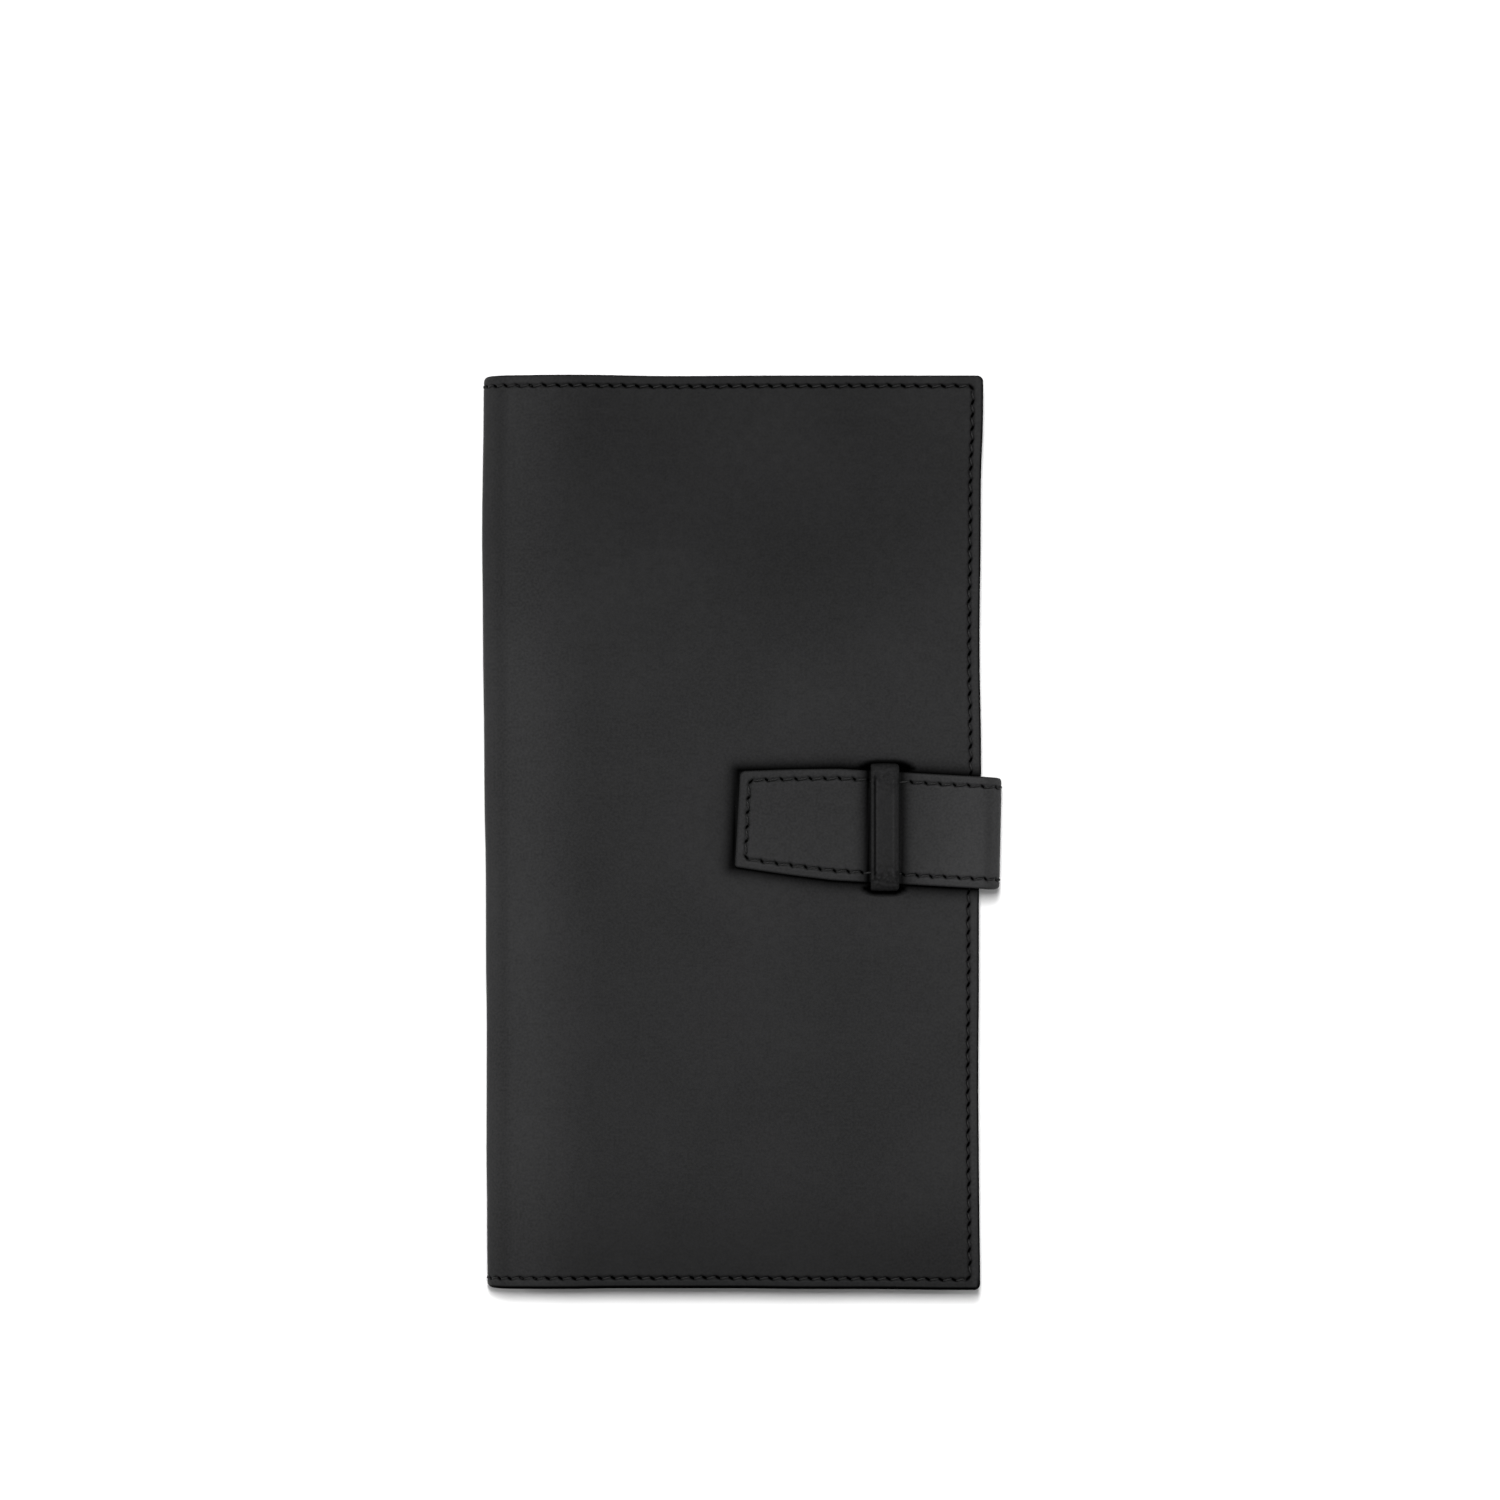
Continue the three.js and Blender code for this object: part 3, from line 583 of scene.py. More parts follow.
# Lattice of a cover: lines across and along it, and closer ones at the bend, under the strap and at a slit
COVER_LATTICE = (36, 24)
BEND_LINES_LEAD = 30 * MM
BEND_LINES_STEP = 0.8 * MM
STRAP_BED_REACHES = MM * np.arange(8, 70, 1.0)
STRAP_BED_HEIGHTS = MM * np.arange(-24, 26, 1.0)
SLIT_HEIGHTS = MM * np.linspace(-2.4, 2.4, 25)

# Shape of a cover's face; its waves run along and up it, and other pairs are where a step starts and ends
COVER_WAVE_RISE = 0.1 * MM
COVER_WAVES = MM * np.array([19, 27])
COVER_WAVE_PHASES = np.array([1.1, -0.4])
COVER_CALM = (4.8 * MM, 16.8 * MM)
SPINE_ROLL_WIDTH = 28 * MM
SPINE_ROLL_DROP = 0.7 * MM
SPINE_THREAD_RISES = (6 * MM, 10.5 * MM)
SLIT_DEPTH = 1.0 * MM
SLIT_LIP = 0.16 * MM
SLIT_POWER = 4

# Painted shade, with steps as pairs: in the sewing, along the tail edge, a darker line along the fore edge,
# and the painted shadow round the strap and beside the keeper
COVER_BED_SHADE = 0.95
COVER_HOLE_SHADE = 2.5
COVER_PAINT = 0.45 * MM
TAIL_EDGE_SHADE = (0.8 * MM, 0.52 * MM)
TAIL_BAND = 4.8 * MM
FORE_EDGE_DARK = (0.62 * MM, 0.2 * MM)
FORE_EDGE_DARKNESS = 0.8
HEAD_CLEAR = (0.3 * MM, 1.0 * MM)
STRAP_SHADOW_WIDTH = 1.55 * MM
STRAP_SHADOW_TIP_X = STRAP_TIP_X - 0.85 * MM
STRAP_SHADOW_TIP_Y = STRAP_TIP_Y + 0.25 * MM
SHADOW_FALL = 1.35
SHADOW_LINE = 1.0 * MM
SHADOW_INSIDE = 0.22
PAINTED_SHADOW_SHADE = 0.97

# Painted light on the covers: how much paler they are painted, and where, with steps as pairs
SPINE_PALE = 1.75
SPINE_PALE_WIDTH = 22 * MM
FORE_PALE = 0.5
FORE_PALE_WIDTH = 30 * MM
FORE_MARGIN = (1.5 * MM, 2.4 * MM)
MARGIN_PALE = 0.85
MARGIN_TAIL_PALE = 0.5
MARGIN_PALE_Y = (20 * MM, -110 * MM)
LIT_BAND_PALE = 1.1
LIT_BAND_FROM_Y = (-112 * MM, -78 * MM)
LIT_BAND_TO_Y = (80 * MM, 26 * MM)
MIDDLE_PALE = 0.25
TAIL_DARK_Y = (-110 * MM, -94 * MM)
HEAD_DARK_Y = (96 * MM, 40 * MM)
HEAD_DARK_SHARE = 0.2

# The lining
LINING_DEPTH = 1.4 * MM
LINING_BEND_DEPTH = 2.1 * MM
LINING_EASE = 3 * MM
STIFFENER_BED_DEPTH = 2.3 * MM
STIFFENER_RIM = 4.6 * MM
STIFFENER_SHORT = 1.6 * MM
LINING_PAINT = 0.3 * MM
LINING_RINGS = MM * np.array([0.0, 0.3, 4.0])
LINING_UNDER_RINGS = MM * np.array([0.0, 4.4, 4.7])
LINING_LATTICE = (30, 20)
LINING_BEND_LINES = MM * np.linspace(-5, 2, 12)
LINING_COARSER = 12
LINING_LEAST_STEPS = 8


def wander(stations):
    """An edge's offset: the stations' offsets averaged with weights exp(-(distance / spread)^2)."""
    at, off = np.array(stations, float).T

    def offset(place):
        weight = bell(np.asarray(place)[..., None] / MM, at, LEAN_SPREAD)
        return MM * (weight @ off) / weight.sum(-1)

    return offset


spine_lean, fore_lean, head_lean, tail_lean = map(wander, (SPINE_LEAN, FORE_LEAN, HEAD_LEAN, TAIL_LEAN))


def on_cover(is_front):
    """Lays flat leather over a cover: straight from the fore edge to the bend, a quarter turn of the spine's
    radius, then straight down the spine to its middle. The spine is drawn in round at head and tail, and the
    edges wander a little out of straight. Lift is outwards from the cover's outer face."""

    def place(flat, lift):
        reach, up = flat[..., 0], flat[..., 1]
        turn = np.clip((reach - COVER_FLAT) / SPINE_RADIUS, 0, np.pi / 2)
        down = np.clip(reach - COVER_FLAT - SPINE_BEND, 0, None)
        radius = SPINE_RADIUS + lift
        drawn = edge_drop(TOP_Y - np.abs(up), SPINE_END_ROUND)
        x = SPINE_BEND_X + np.clip(COVER_FLAT - reach, 0, None) - (radius - drawn) * np.sin(turn)
        z = FRONT_Z - SPINE_RADIUS + radius * np.cos(turn) - down
        to_spine = ramp(reach, 0, COVER_FLAT)
        to_head = (up / TOP_Y + 1) / 2
        x = x + (1 - to_spine) * fore_lean(up) + to_spine * spine_lean(up)
        y = up + to_head * head_lean(x) + (1 - to_head) * tail_lean(x)
        return np.stack([x, y, z if is_front else FRONT_Z - z], -1)

    return place


def cover_cut():
    """A cover's leather from its fore edge, at reach 0, to the middle of the spine."""
    spine_middle = [(COVER_REACH, y) for y in (-TOP_Y, SPINE_END - TOP_Y, TOP_Y - SPINE_END)]
    sides = [[(0, -TOP_Y)], spine_middle, [(COVER_REACH, TOP_Y)], [(0, TOP_Y)]]
    steps = [FINE, [FINE, PLAIN, FINE], FINE, FINE]
    return Cut(sides, steps, rounded=[(k, COVER_CORNER) for k in (TAIL_EDGE, FORE_EDGE)])


def cover_lines(is_front):
    """Lattice of a cover's middle, closer at the bend and, on the front, under the strap and at the slits."""
    rim = SEAM_RINGS[-1]
    reaches = [np.arange(COVER_FLAT - BEND_LINES_LEAD, COVER_REACH - rim, BEND_LINES_STEP)]
    heights = []
    if is_front:
        reaches.append(STRAP_BED_REACHES)
        heights = [STRAP_BED_HEIGHTS, *(slit[0] + SLIT_HEIGHTS for slit in (HEAD_SLIT, TAIL_SLIT))]
    across, along = COVER_LATTICE
    return (
        lattice_lines(across, rim - TOP_Y, TOP_Y - rim, *heights),
        lattice_lines(along, rim, COVER_REACH - rim, *reaches),
    )


def slit_gape(flat):
    """1 inside the two slits that the keeper goes through, 0 outside. Each gapes to a lens, with half width
    g (1 - (a / l)^4) at a along it, and its lip is the step 1 / (1 + exp(distance / lip))."""
    gape = np.zeros(flat.shape[:-1])
    for slit_y, half_length, half_gape in (HEAD_SLIT, TAIL_SLIT):
        along = (FORE_X - KEEPER_X - flat[..., 0]) / half_length
        past_lip = np.abs(flat[..., 1] - slit_y) - half_gape * (1 - along ** SLIT_POWER)
        gape = np.maximum(gape, (1 - np.tanh(past_lip / SLIT_LIP / 2)) / 2)
    return gape


def painted_edge_shadow(outside, inside, width):
    """Painted shadow beside an edge: exp(-(d / width)^n) outside it, and inside it a bell over a faint
    even darkening."""
    within = SHADOW_INSIDE + (1 - SHADOW_INSIDE) * bell(inside, 0, SHADOW_LINE)
    return np.exp(-(outside / width) ** SHADOW_FALL) * within


def strap_painted_shadow(flat):
    """Painted shadow on the cover round the strap's edges, shifted a little further along than the strap's
    tip.
    """
    x = FORE_X - flat[..., 0] - STRAP_SHADOW_TIP_X
    y = flat[..., 1] - STRAP_SHADOW_TIP_Y
    reach = x * np.cos(STRAP_SKEW) - y * np.sin(STRAP_SKEW)
    side = x * np.sin(STRAP_SKEW) + y * np.cos(STRAP_SKEW)
    half = (STRAP_TIP_WIDTH + (STRAP_WIDTH - STRAP_TIP_WIDTH) * ramp(reach, 0, STRAP_TAPER)) / 2
    outside = np.hypot(np.clip(-reach, 0, None), np.clip(np.abs(side) - half, 0, None))
    inside = np.clip(np.minimum(reach, half - np.abs(side)), 0, None)
    return painted_edge_shadow(outside, inside, STRAP_SHADOW_WIDTH)


def spine_roll(flat):
    """How far a cover eases down towards the spine: a parabola up to the bend, then a cosine back to 0."""
    before = ramp(flat[..., 0], COVER_FLAT - SPINE_ROLL_WIDTH, COVER_FLAT)
    after = ramp(flat[..., 0], COVER_FLAT, COVER_FLAT + SPINE_BEND)
    return before ** 2 * (1 + np.cos(np.pi * after)) / 2


def cover_shade(cut, seam, flat, is_front):
    """Painted shade on a cover: in its sewing, along the tail edge, a darker line along the fore edge, and on
    the front in the slits and as the painted shadow round the strap."""
    shade = seam.shade(flat, COVER_BED_SHADE, COVER_HOLE_SHADE)
    if is_front:
        # On the front, painted shade fills the slits, and painted shadow lies round the strap
        shade = np.maximum(shade, np.maximum(slit_gape(flat), PAINTED_SHADOW_SHADE * strap_painted_shadow(flat)))
    edge = cut.edge_distance(flat, COVER_EDGES)
    at_tail = 1 - smooth_step(flat[..., 1] + TOP_Y, 0, TAIL_BAND)
    below_head = smooth_step(TOP_Y - flat[..., 1], *HEAD_CLEAR)
    tail_edge_shade = at_tail * smooth_step(edge, *TAIL_EDGE_SHADE)
    fore_edge_dark = FORE_EDGE_DARKNESS * below_head * smooth_step(edge, *FORE_EDGE_DARK)
    return np.maximum(shade, np.maximum(tail_edge_shade, fore_edge_dark))


def cover_painted_light(flat):
    """Painted light on a cover: how much paler it is painted along the spine, over the middle, along the fore
    edge and on the margin outside the seam there, and less at head and tail."""
    reach, up = flat[..., 0], flat[..., 1]
    at_spine = np.sin(np.pi / 2 * ramp(reach, COVER_FLAT - SPINE_PALE_WIDTH, COVER_FLAT)) ** 2
    at_fore = ramp(reach, FORE_PALE_WIDTH, 0)
    lit_band = smooth_step(up, *LIT_BAND_FROM_Y) * smooth_step(up, *LIT_BAND_TO_Y)
    amid = HEAD_DARK_SHARE + (1 - HEAD_DARK_SHARE) * smooth_step(up, *HEAD_DARK_Y)
    amid = amid * smooth_step(up, *TAIL_DARK_Y)
    margin = MARGIN_PALE + MARGIN_TAIL_PALE * smooth_step(up, *MARGIN_PALE_Y)
    margin = margin * (1 - smooth_step(reach, *FORE_MARGIN))
    pale = SPINE_PALE * at_spine + FORE_PALE * at_fore + LIT_BAND_PALE * lit_band + MIDDLE_PALE * amid
    return pale + margin


def cover_leather(name, is_front, seed):
    """The outer leather of a cover and of half of the spine, and its stitches. Its face has low waves, the
    product of a sine along it and one across it, that calm down towards the edges."""
    cut = cover_cut()
    low, high = SEAM_INSET - TOP_Y, TOP_Y - SEAM_INSET
    path = [(COVER_REACH, high), (SEAM_INSET, high), (SEAM_INSET, low), (COVER_REACH, low)]
    seam = Seam([path], STITCH_PITCH, seed)
    place = on_cover(is_front)

    def top(flat):
        wave = np.prod(np.sin(flat / COVER_WAVES + COVER_WAVE_PHASES), -1)
        calm = ramp(cut.edge_distance(flat, COVER_EDGES), *COVER_CALM)
        lift = sewn_face(cut, seam, COVER_EDGES, flat, SEAM_INSET) + COVER_WAVE_RISE * wave * calm
        return lift - SPINE_ROLL_DROP * spine_roll(flat) - SLIT_DEPTH * slit_gape(flat) * is_front

    def marks(flat, on_top):
        paint = ramp(cut.edge_distance(flat, COVER_EDGES), COVER_PAINT, 0)
        shade = cover_shade(cut, seam, flat, is_front)
        return leather_marks(on_top, shade, paint, worn_pale=cover_painted_light(flat))

    def thread_lift(flat):
        rise = FOLD_THREAD_RISE * smooth_step(flat[..., 0] - COVER_FLAT, *SPINE_THREAD_RISES)
        return THREAD_SUNK + rise - SPINE_ROLL_DROP * spine_roll(flat)

    piece = laid_leather(
        name, cut, place, top, level(-COVER_LEATHER), marks, SEAM_RINGS, COVER_UNDER_RINGS,
        cover_lines(is_front), wall=[(0.0, EDGE_WALL_LOW - COVER_LEATHER)],
    )
    return piece, seam.threads(name + "_stitches", place, thread_lift)


def cover_lining(name, is_front, pocket_node, seed):
    """The lining of a cover and of half of the spine, hollowed where the stiffener lies. The cover's seam
    shows on it at head and tail, between the spine and the pocket that covers the rest."""
    cut = cover_cut()
    cut.counts = np.maximum(LINING_LEAST_STEPS, cut.counts // LINING_COARSER)
    place = on_cover(is_front)

    def face(flat):
        ease = smooth_step(flat[..., 0], COVER_FLAT - LINING_EASE, COVER_FLAT)
        return -COVER_STACK + ease * (COVER_STACK - LINING_BEND_DEPTH)

    def back_of_lining(flat):
        edge = cut.edge_distance(flat, COVER_EDGES)
        over_board = (edge > STIFFENER_RIM) & (flat[..., 0] < COVER_FLAT - STIFFENER_SHORT)
        return np.where(over_board, -STIFFENER_BED_DEPTH, -LINING_DEPTH)

    def marks(flat, on_top):
        paint = ramp(cut.edge_distance(flat, COVER_EDGES), LINING_PAINT, 0)
        return {"seam_shade": np.zeros(len(flat)), "edge_paint": paint}

    def thread_lift(flat):
        return face(flat) + LINING_THREAD_SUNK

    rim = LINING_RINGS[-1]
    across, along = LINING_LATTICE
    lines = (
        lattice_lines(across, 0, 1, [0.0]),
        lattice_lines(along, rim, COVER_REACH - rim, COVER_FLAT + LINING_BEND_LINES),
    )
    piece = laid_leather(
        name, cut, place, face, back_of_lining, marks, LINING_RINGS, LINING_UNDER_RINGS, lines,
    )
    from_pocket = FORE_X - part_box(pocket_node)[0].x
    rows = [[(from_pocket, y), (COVER_REACH, y)] for y in (TOP_Y - SEAM_INSET, SEAM_INSET - TOP_Y)]
    seam = Seam(rows, STITCH_PITCH, seed)
    return piece, seam.threads(name + "_stitches", place, thread_lift, -1)


# The strap

STRAP_FULLNESS = 0.011
STRAP_END_ROUND = 1.1 * MM
STRAP_END_FULLNESS = 0.12 * MM
STRAP_END_LEAN = 0.02
STRAP_BACK_ROUND = 0.4 * MM
STRAP_END_STEP = 0.6 * MM
STRAP_RINGS = MM * np.array([
    0.0, 0.04, 0.13, 0.28, 0.55, 0.9, 1.25, 1.55, 1.77, 1.92, 2.05, 2.18, 2.32, 2.45,
    2.58, 2.72, 2.85, 2.98, 3.15, 3.4, 3.8, 4.4,
])
STRAP_UNDER_RINGS = MM * np.array([0.0, 0.1, 0.4, 3.0])
STRAP_LATTICE = (8, 90)
STRAP_EDGE_JOINT = 0.08 * MM
STRAP_THREAD_RISES = (0.5 * MM, 4 * MM)
STRAP_SEAM_STOP = 0.5 * MM
# The strap's painted shade in its sewing, its painted light towards the bend, and the painted shadow beside
# the keeper's edges
STRAP_BED_SHADE = 0.85
STRAP_HOLE_SHADE = 2.2
STRAP_PAINT = 0.4 * MM
STRAP_PALE = 0.25
STRAP_PALE_REACH = (40 * MM, 60 * MM)
KEEPER_SHADOW_WIDTH = 1.3 * MM
KEEPER_SHADOW_CORE = 0.35 * MM
KEEPER_SHADOW_EASE = 0.2
TONGUE_LENGTH = 12 * MM
TONGUE_THINNING = 0.8 * MM
TONGUE_PARED = (STRAP_ROOT - 1.2 * MM, STRAP_ROOT + 0.4 * MM)

# Free edges of the strap's two stretches, by number
TAB_EDGES = (0, 1, 3, 4, 5)
FOOT_EDGES = (0, 2)


def strap_x(reach, side):
    """How far to the fore edge a point of the strap would lie if none of it bent."""
    return STRAP_TIP_X + reach * np.cos(STRAP_SKEW) + side * np.sin(STRAP_SKEW)


def past_bend(flat):
    """How far along the strap a point lies past the start of the bend at the fore edge."""
    return strap_x(flat[..., 0], flat[..., 1]) - STRAP_BEND_X


def strap_reach(past, side):
    """How far from the tip a line square to the holder, past the start of the bend, crosses the strap."""
    return (STRAP_BEND_X + past - STRAP_TIP_X - side * np.sin(STRAP_SKEW)) / np.cos(STRAP_SKEW)


def on_strap(flat, lift):
    """Lays the flat strap: straight over the front cover, a quarter turn at the fore edge, straight down, a
    quarter turn back, then straight into the back cover. Seen from the front it is a straight band a few
    degrees out of square, rounded at its end, and its edges are a little full between tip and shoulder. Lift
    is outwards from the strap's outer face."""
    reach = flat[..., 0]
    side = flat[..., 1] * (1 + STRAP_FULLNESS * np.sin(np.pi * ramp(reach, 0, STRAP_TAPER)))
    past = strap_x(reach, side) - STRAP_BEND_X
    upper_turn = np.clip(past / STRAP_RADIUS, 0, np.pi / 2)
    down = np.clip(past - STRAP_BEND, 0, STRAP_WALL)
    lower_turn = np.clip((past - STRAP_BEND - STRAP_WALL) / STRAP_RADIUS, 0, np.pi / 2)
    inwards = np.clip(past - STRAP_ROOT, 0, None)
    turn = upper_turn + lower_turn
    out = np.minimum(past, 0) + STRAP_RADIUS * np.sin(turn) - inwards
    y = STRAP_TIP_Y - (STRAP_BEND_X - STRAP_TIP_X + out) * np.tan(STRAP_SKEW) + side / np.cos(STRAP_SKEW)
    drawn = edge_drop(STRAP_WIDTH / 2 - np.abs(side), STRAP_END_ROUND)
    x = STRAP_BEND_X + out + (lift + STRAP_END_FULLNESS + STRAP_END_LEAN * side - drawn) * np.sin(turn)
    z = STRAP_UPPER_Z - down + (STRAP_RADIUS + lift) * np.cos(turn)
    return np.stack([x, y, z], -1)


def keeper_painted_shadow(flat):
    """Painted shadow on the strap beside the keeper's edges, fainter at the one nearer the fore edge."""
    from_middle = strap_x(flat[..., 0], flat[..., 1]) - KEEPER_X
    past_edge = np.abs(from_middle) - KEEPER_HALF_WIDTH - KEEPER_SHADOW_CORE
    press = 1 - KEEPER_SHADOW_EASE * smooth_step(from_middle, -KEEPER_HALF_WIDTH, KEEPER_HALF_WIDTH)
    return press * painted_edge_shadow(np.clip(past_edge, 0, None), np.clip(-past_edge, 0, None), KEEPER_SHADOW_WIDTH)


def strap_piece(name, cut, lines, free_edges, pared, seed):
    """A stretch of the strap, and the stitches on both its faces. pared gives how much has been taken off
    each face. A fine line round the edge shows where the leather meets its lining."""
    seam = Seam(lines, STRAP_PITCH, seed, STRAP_HOLES)

    def face(flat):
        return sewn_face(cut, seam, free_edges, flat, STRAP_SEAM_INSET) - pared(flat)

    def back(flat):
        edge = cut.edge_distance(flat, free_edges)
        return pared(flat) - STRAP_THICKNESS + edge_drop(edge, STRAP_BACK_ROUND)

    def marks(flat, on_top):
        shade = seam.shade(flat, STRAP_BED_SHADE, STRAP_HOLE_SHADE)
        shade = np.maximum(shade, PAINTED_SHADOW_SHADE * keeper_painted_shadow(flat))
        paint = ramp(cut.edge_distance(flat, free_edges), STRAP_PAINT, 0)
        # Painted light: paler towards the bend at the fore edge
        pale = STRAP_PALE + smooth_step(flat[..., 0], *STRAP_PALE_REACH)
        return leather_marks(on_top, shade, paint, worn_pale=pale)

    def thread_lift(flat):
        return THREAD_SUNK + FOLD_THREAD_RISE * smooth_step(past_bend(flat), *STRAP_THREAD_RISES)

    joint = [(0, 0), (STRAP_EDGE_JOINT, STRAP_EDGE_JOINT), (0, 2 * STRAP_EDGE_JOINT)]
    piece = laid_leather(
        name, cut, on_strap, face, back, marks, STRAP_RINGS, STRAP_UNDER_RINGS,
        [lattice_lines(count) for count in STRAP_LATTICE],
        wall=[(inset, rise - STRAP_PLY) for inset, rise in joint],
    )
    below = level(LINING_THREAD_SUNK - STRAP_THICKNESS)
    return (
        piece,
        seam.threads(name + "_stitches", on_strap, thread_lift),
        seam.threads(name + "_lining_stitches", on_strap, below, -1),
    )


def upper_strap(seed):
    """The strap from its tip, over the front cover and round the fore edge to the middle of the upright."""
    half, tip = STRAP_WIDTH / 2, STRAP_TIP_WIDTH / 2
    middle = STRAP_BEND + STRAP_WALL / 2
    end_low, end_high = ((strap_reach(middle, side), side) for side in (-half, half))
    sides = [[(0, -tip), (STRAP_TAPER, -half)], [end_low], [end_high, (STRAP_TAPER, half)], [(0, tip)]]
    tip_high = TAB_EDGES[-1]
    cut = Cut(sides, [FINE, STRAP_END_STEP, FINE, FINE], list(zip((0, tip_high), STRAP_TIP_CORNERS)))
    inner = drawn_in(cut.corners, [STRAP_SEAM_INSET])[0]
    inset = half - STRAP_SEAM_INSET
    path = [(end_high[0], inset), *inner[[tip_high - 1, tip_high, 0, 1]], (end_low[0], -inset)]
    return strap_piece("strap_tab", cut, [path], TAB_EDGES, level(0.0), seed)


def lower_strap(seed):
    """The strap from the middle of the upright, round and into the back cover, pared thin to go in."""
    half = STRAP_WIDTH / 2
    start, end = STRAP_BEND + STRAP_WALL / 2, STRAP_ROOT + TONGUE_LENGTH
    corners = ((start, -half), (end, -half), (end, half), (start, half))
    sides = [[(strap_reach(past, side), side)] for past, side in corners]
    cut = Cut(sides, [FINE, STRAP_END_STEP, FINE, STRAP_END_STEP])
    inset = half - STRAP_SEAM_INSET
    last = STRAP_ROOT - STRAP_SEAM_STOP
    paths = [[(strap_reach(past, side), side) for past in (start, last)] for side in (inset, -inset)]

    def pared(flat):
        return TONGUE_THINNING * smooth_step(past_bend(flat), *TONGUE_PARED)

    return strap_piece("strap_foot", cut, paths, FOOT_EDGES, pared, seed)


# The keeper

KEEPER_THICKNESS = 1.2 * MM
KEEPER_SLIMMER = np.array([0.93, 0.9945, 1])
KEEPER_SQUARENESS = 9
KEEPER_SUNK = 1.0 * MM
KEEPER_PATH = 150
KEEPER_TURN_CROWDING = 0.11
KEEPER_FACE = 33
KEEPER_EDGE_CROWDING = 1.3
KEEPER_BACK_WIDTH = 0.97
KEEPER_CROWN = 0.14 * MM
KEEPER_SPINE_BEVEL = 0.45 * MM
KEEPER_FORE_BEVEL = 0.9 * MM
KEEPER_CREASE_DEPTH = 0.2 * MM
KEEPER_CREASE_SHADE = 0.85
KEEPER_CREASE_ENDS = (6.0 * MM, 8.8 * MM)
KEEPER_FORE_CREASE = 0.15
KEEPER_PALE = 1.3
KEEPER_PAINT = 0.35 * MM
WRINKLE_RISE = 0.022 * MM
WRINKLE_STEP = 0.21 * MM
WRINKLE_SWAY = 2.1
WRINKLE_SWAY_STEP = 1.1 * MM

# Middles and widths of the bells on the keeper's face: two from its edge, two from its end
KEEPER_CREASE = (1.1 * MM, 0.24 * MM)
KEEPER_RIDGE = (1.5 * MM, 0.28 * MM)
WRINKLED = (6 * MM, 2.2 * MM)
SCUFFS_AND_TURN_SHADE = (8 * MM, 2.6 * MM)


def keeper_band():
    """The loop: an outer line that is half a superellipse, |y/a|^n + |z/b|^n = 1, standing on the cover and
    going a little way into it, carried across the band's width. Its face has a crease inside each edge that
    fades towards the band's ends, and is slightly crowned between them; the leather wrinkles where it turns
    down."""
    middle = (KEEPER_LOW + KEEPER_HIGH) / 2
    half = (KEEPER_HIGH - KEEPER_LOW) / 2 * KEEPER_SLIMMER
    foot = FRONT_Z - KEEPER_SUNK
    power = 2 / KEEPER_SQUARENESS
    share = np.linspace(0, 1, KEEPER_PATH)
    turn = np.pi * share - KEEPER_TURN_CROWDING * np.sin(4 * np.pi * share)
    y = middle[1] - half[1] * np.sign(np.cos(turn)) * np.abs(np.cos(turn)) ** power
    z = foot + (KEEPER_HIGH[2] - foot) * np.abs(np.sin(turn)) ** power
    outward = left_of(unit(np.stack([np.gradient(y), np.gradient(z)], -1)))
    length = np.concatenate([[0], np.cumsum(np.hypot(np.diff(y), np.diff(z)))])[:, None]
    from_end = np.minimum(length, length[-1] - length)

    sway = np.linspace(-1, 1, KEEPER_FACE)
    across = half[0] * np.sign(sway) * (1 - (1 - np.abs(sway)) ** KEEPER_EDGE_CROWDING)
    edge = half[0] - np.abs(across)
    creased = smooth_step(from_end, *KEEPER_CREASE_ENDS)
    crease = creased * bell(edge, *KEEPER_CREASE) * np.where(across < 0, 1, KEEPER_FORE_CREASE)
    bevel = np.where(across < 0, edge_drop(edge, KEEPER_SPINE_BEVEL), edge_drop(edge, KEEPER_FORE_BEVEL))
    crown = KEEPER_CROWN * (1 - (across / half[0]) ** 2) - bevel
    ripple = np.sin(from_end / WRINKLE_STEP + WRINKLE_SWAY * np.sin(across / WRINKLE_SWAY_STEP))
    face = crown - KEEPER_CREASE_DEPTH * crease + WRINKLE_RISE * bell(from_end, *WRINKLED) * ripple

    back_lines = np.array([KEEPER_BACK_WIDTH, -KEEPER_BACK_WIDTH])
    beside_face = (0, len(back_lines))
    lift = np.pad(face, ((0, 0), beside_face), constant_values=-KEEPER_THICKNESS)
    crease = np.pad(crease, ((0, 0), beside_face))
    edge = np.pad(edge, beside_face)
    x = np.concatenate([across, half[0] * back_lines])
    points = np.stack(np.broadcast_arrays(
        middle[0] + x, y[:, None] + lift * outward[:, :1], z[:, None] + lift * outward[:, 1:],
    ), -1)
    ids = numbered(lift.shape)
    faces = [quads(closed(ids)), ids[[0]], ids[[-1]]]
    flat = np.stack(np.broadcast_arrays(length, x), -1)
    on_face = np.arange(len(x)) < KEEPER_FACE
    paint = np.where(on_face, ramp(edge, KEEPER_PAINT, 0), 1)
    # Painted shade in the creases, a painted highlight on the ridge beside them, and near the ends scuffs
    # with painted shade where the band turns down
    marks = {
        "seam_shade": KEEPER_CREASE_SHADE * crease,
        "worn_pale": KEEPER_PALE * creased * bell(edge, *KEEPER_RIDGE) * on_face,
        "scuffs_and_turn_shade": bell(from_end, *SCUFFS_AND_TURN_SHADE) * on_face,
        "edge_paint": np.broadcast_to(paint, ids.shape),
    }
    return mesh_piece("keeper_band", points, faces, flat.reshape(-1, 2), marks)


# Pockets inside the covers

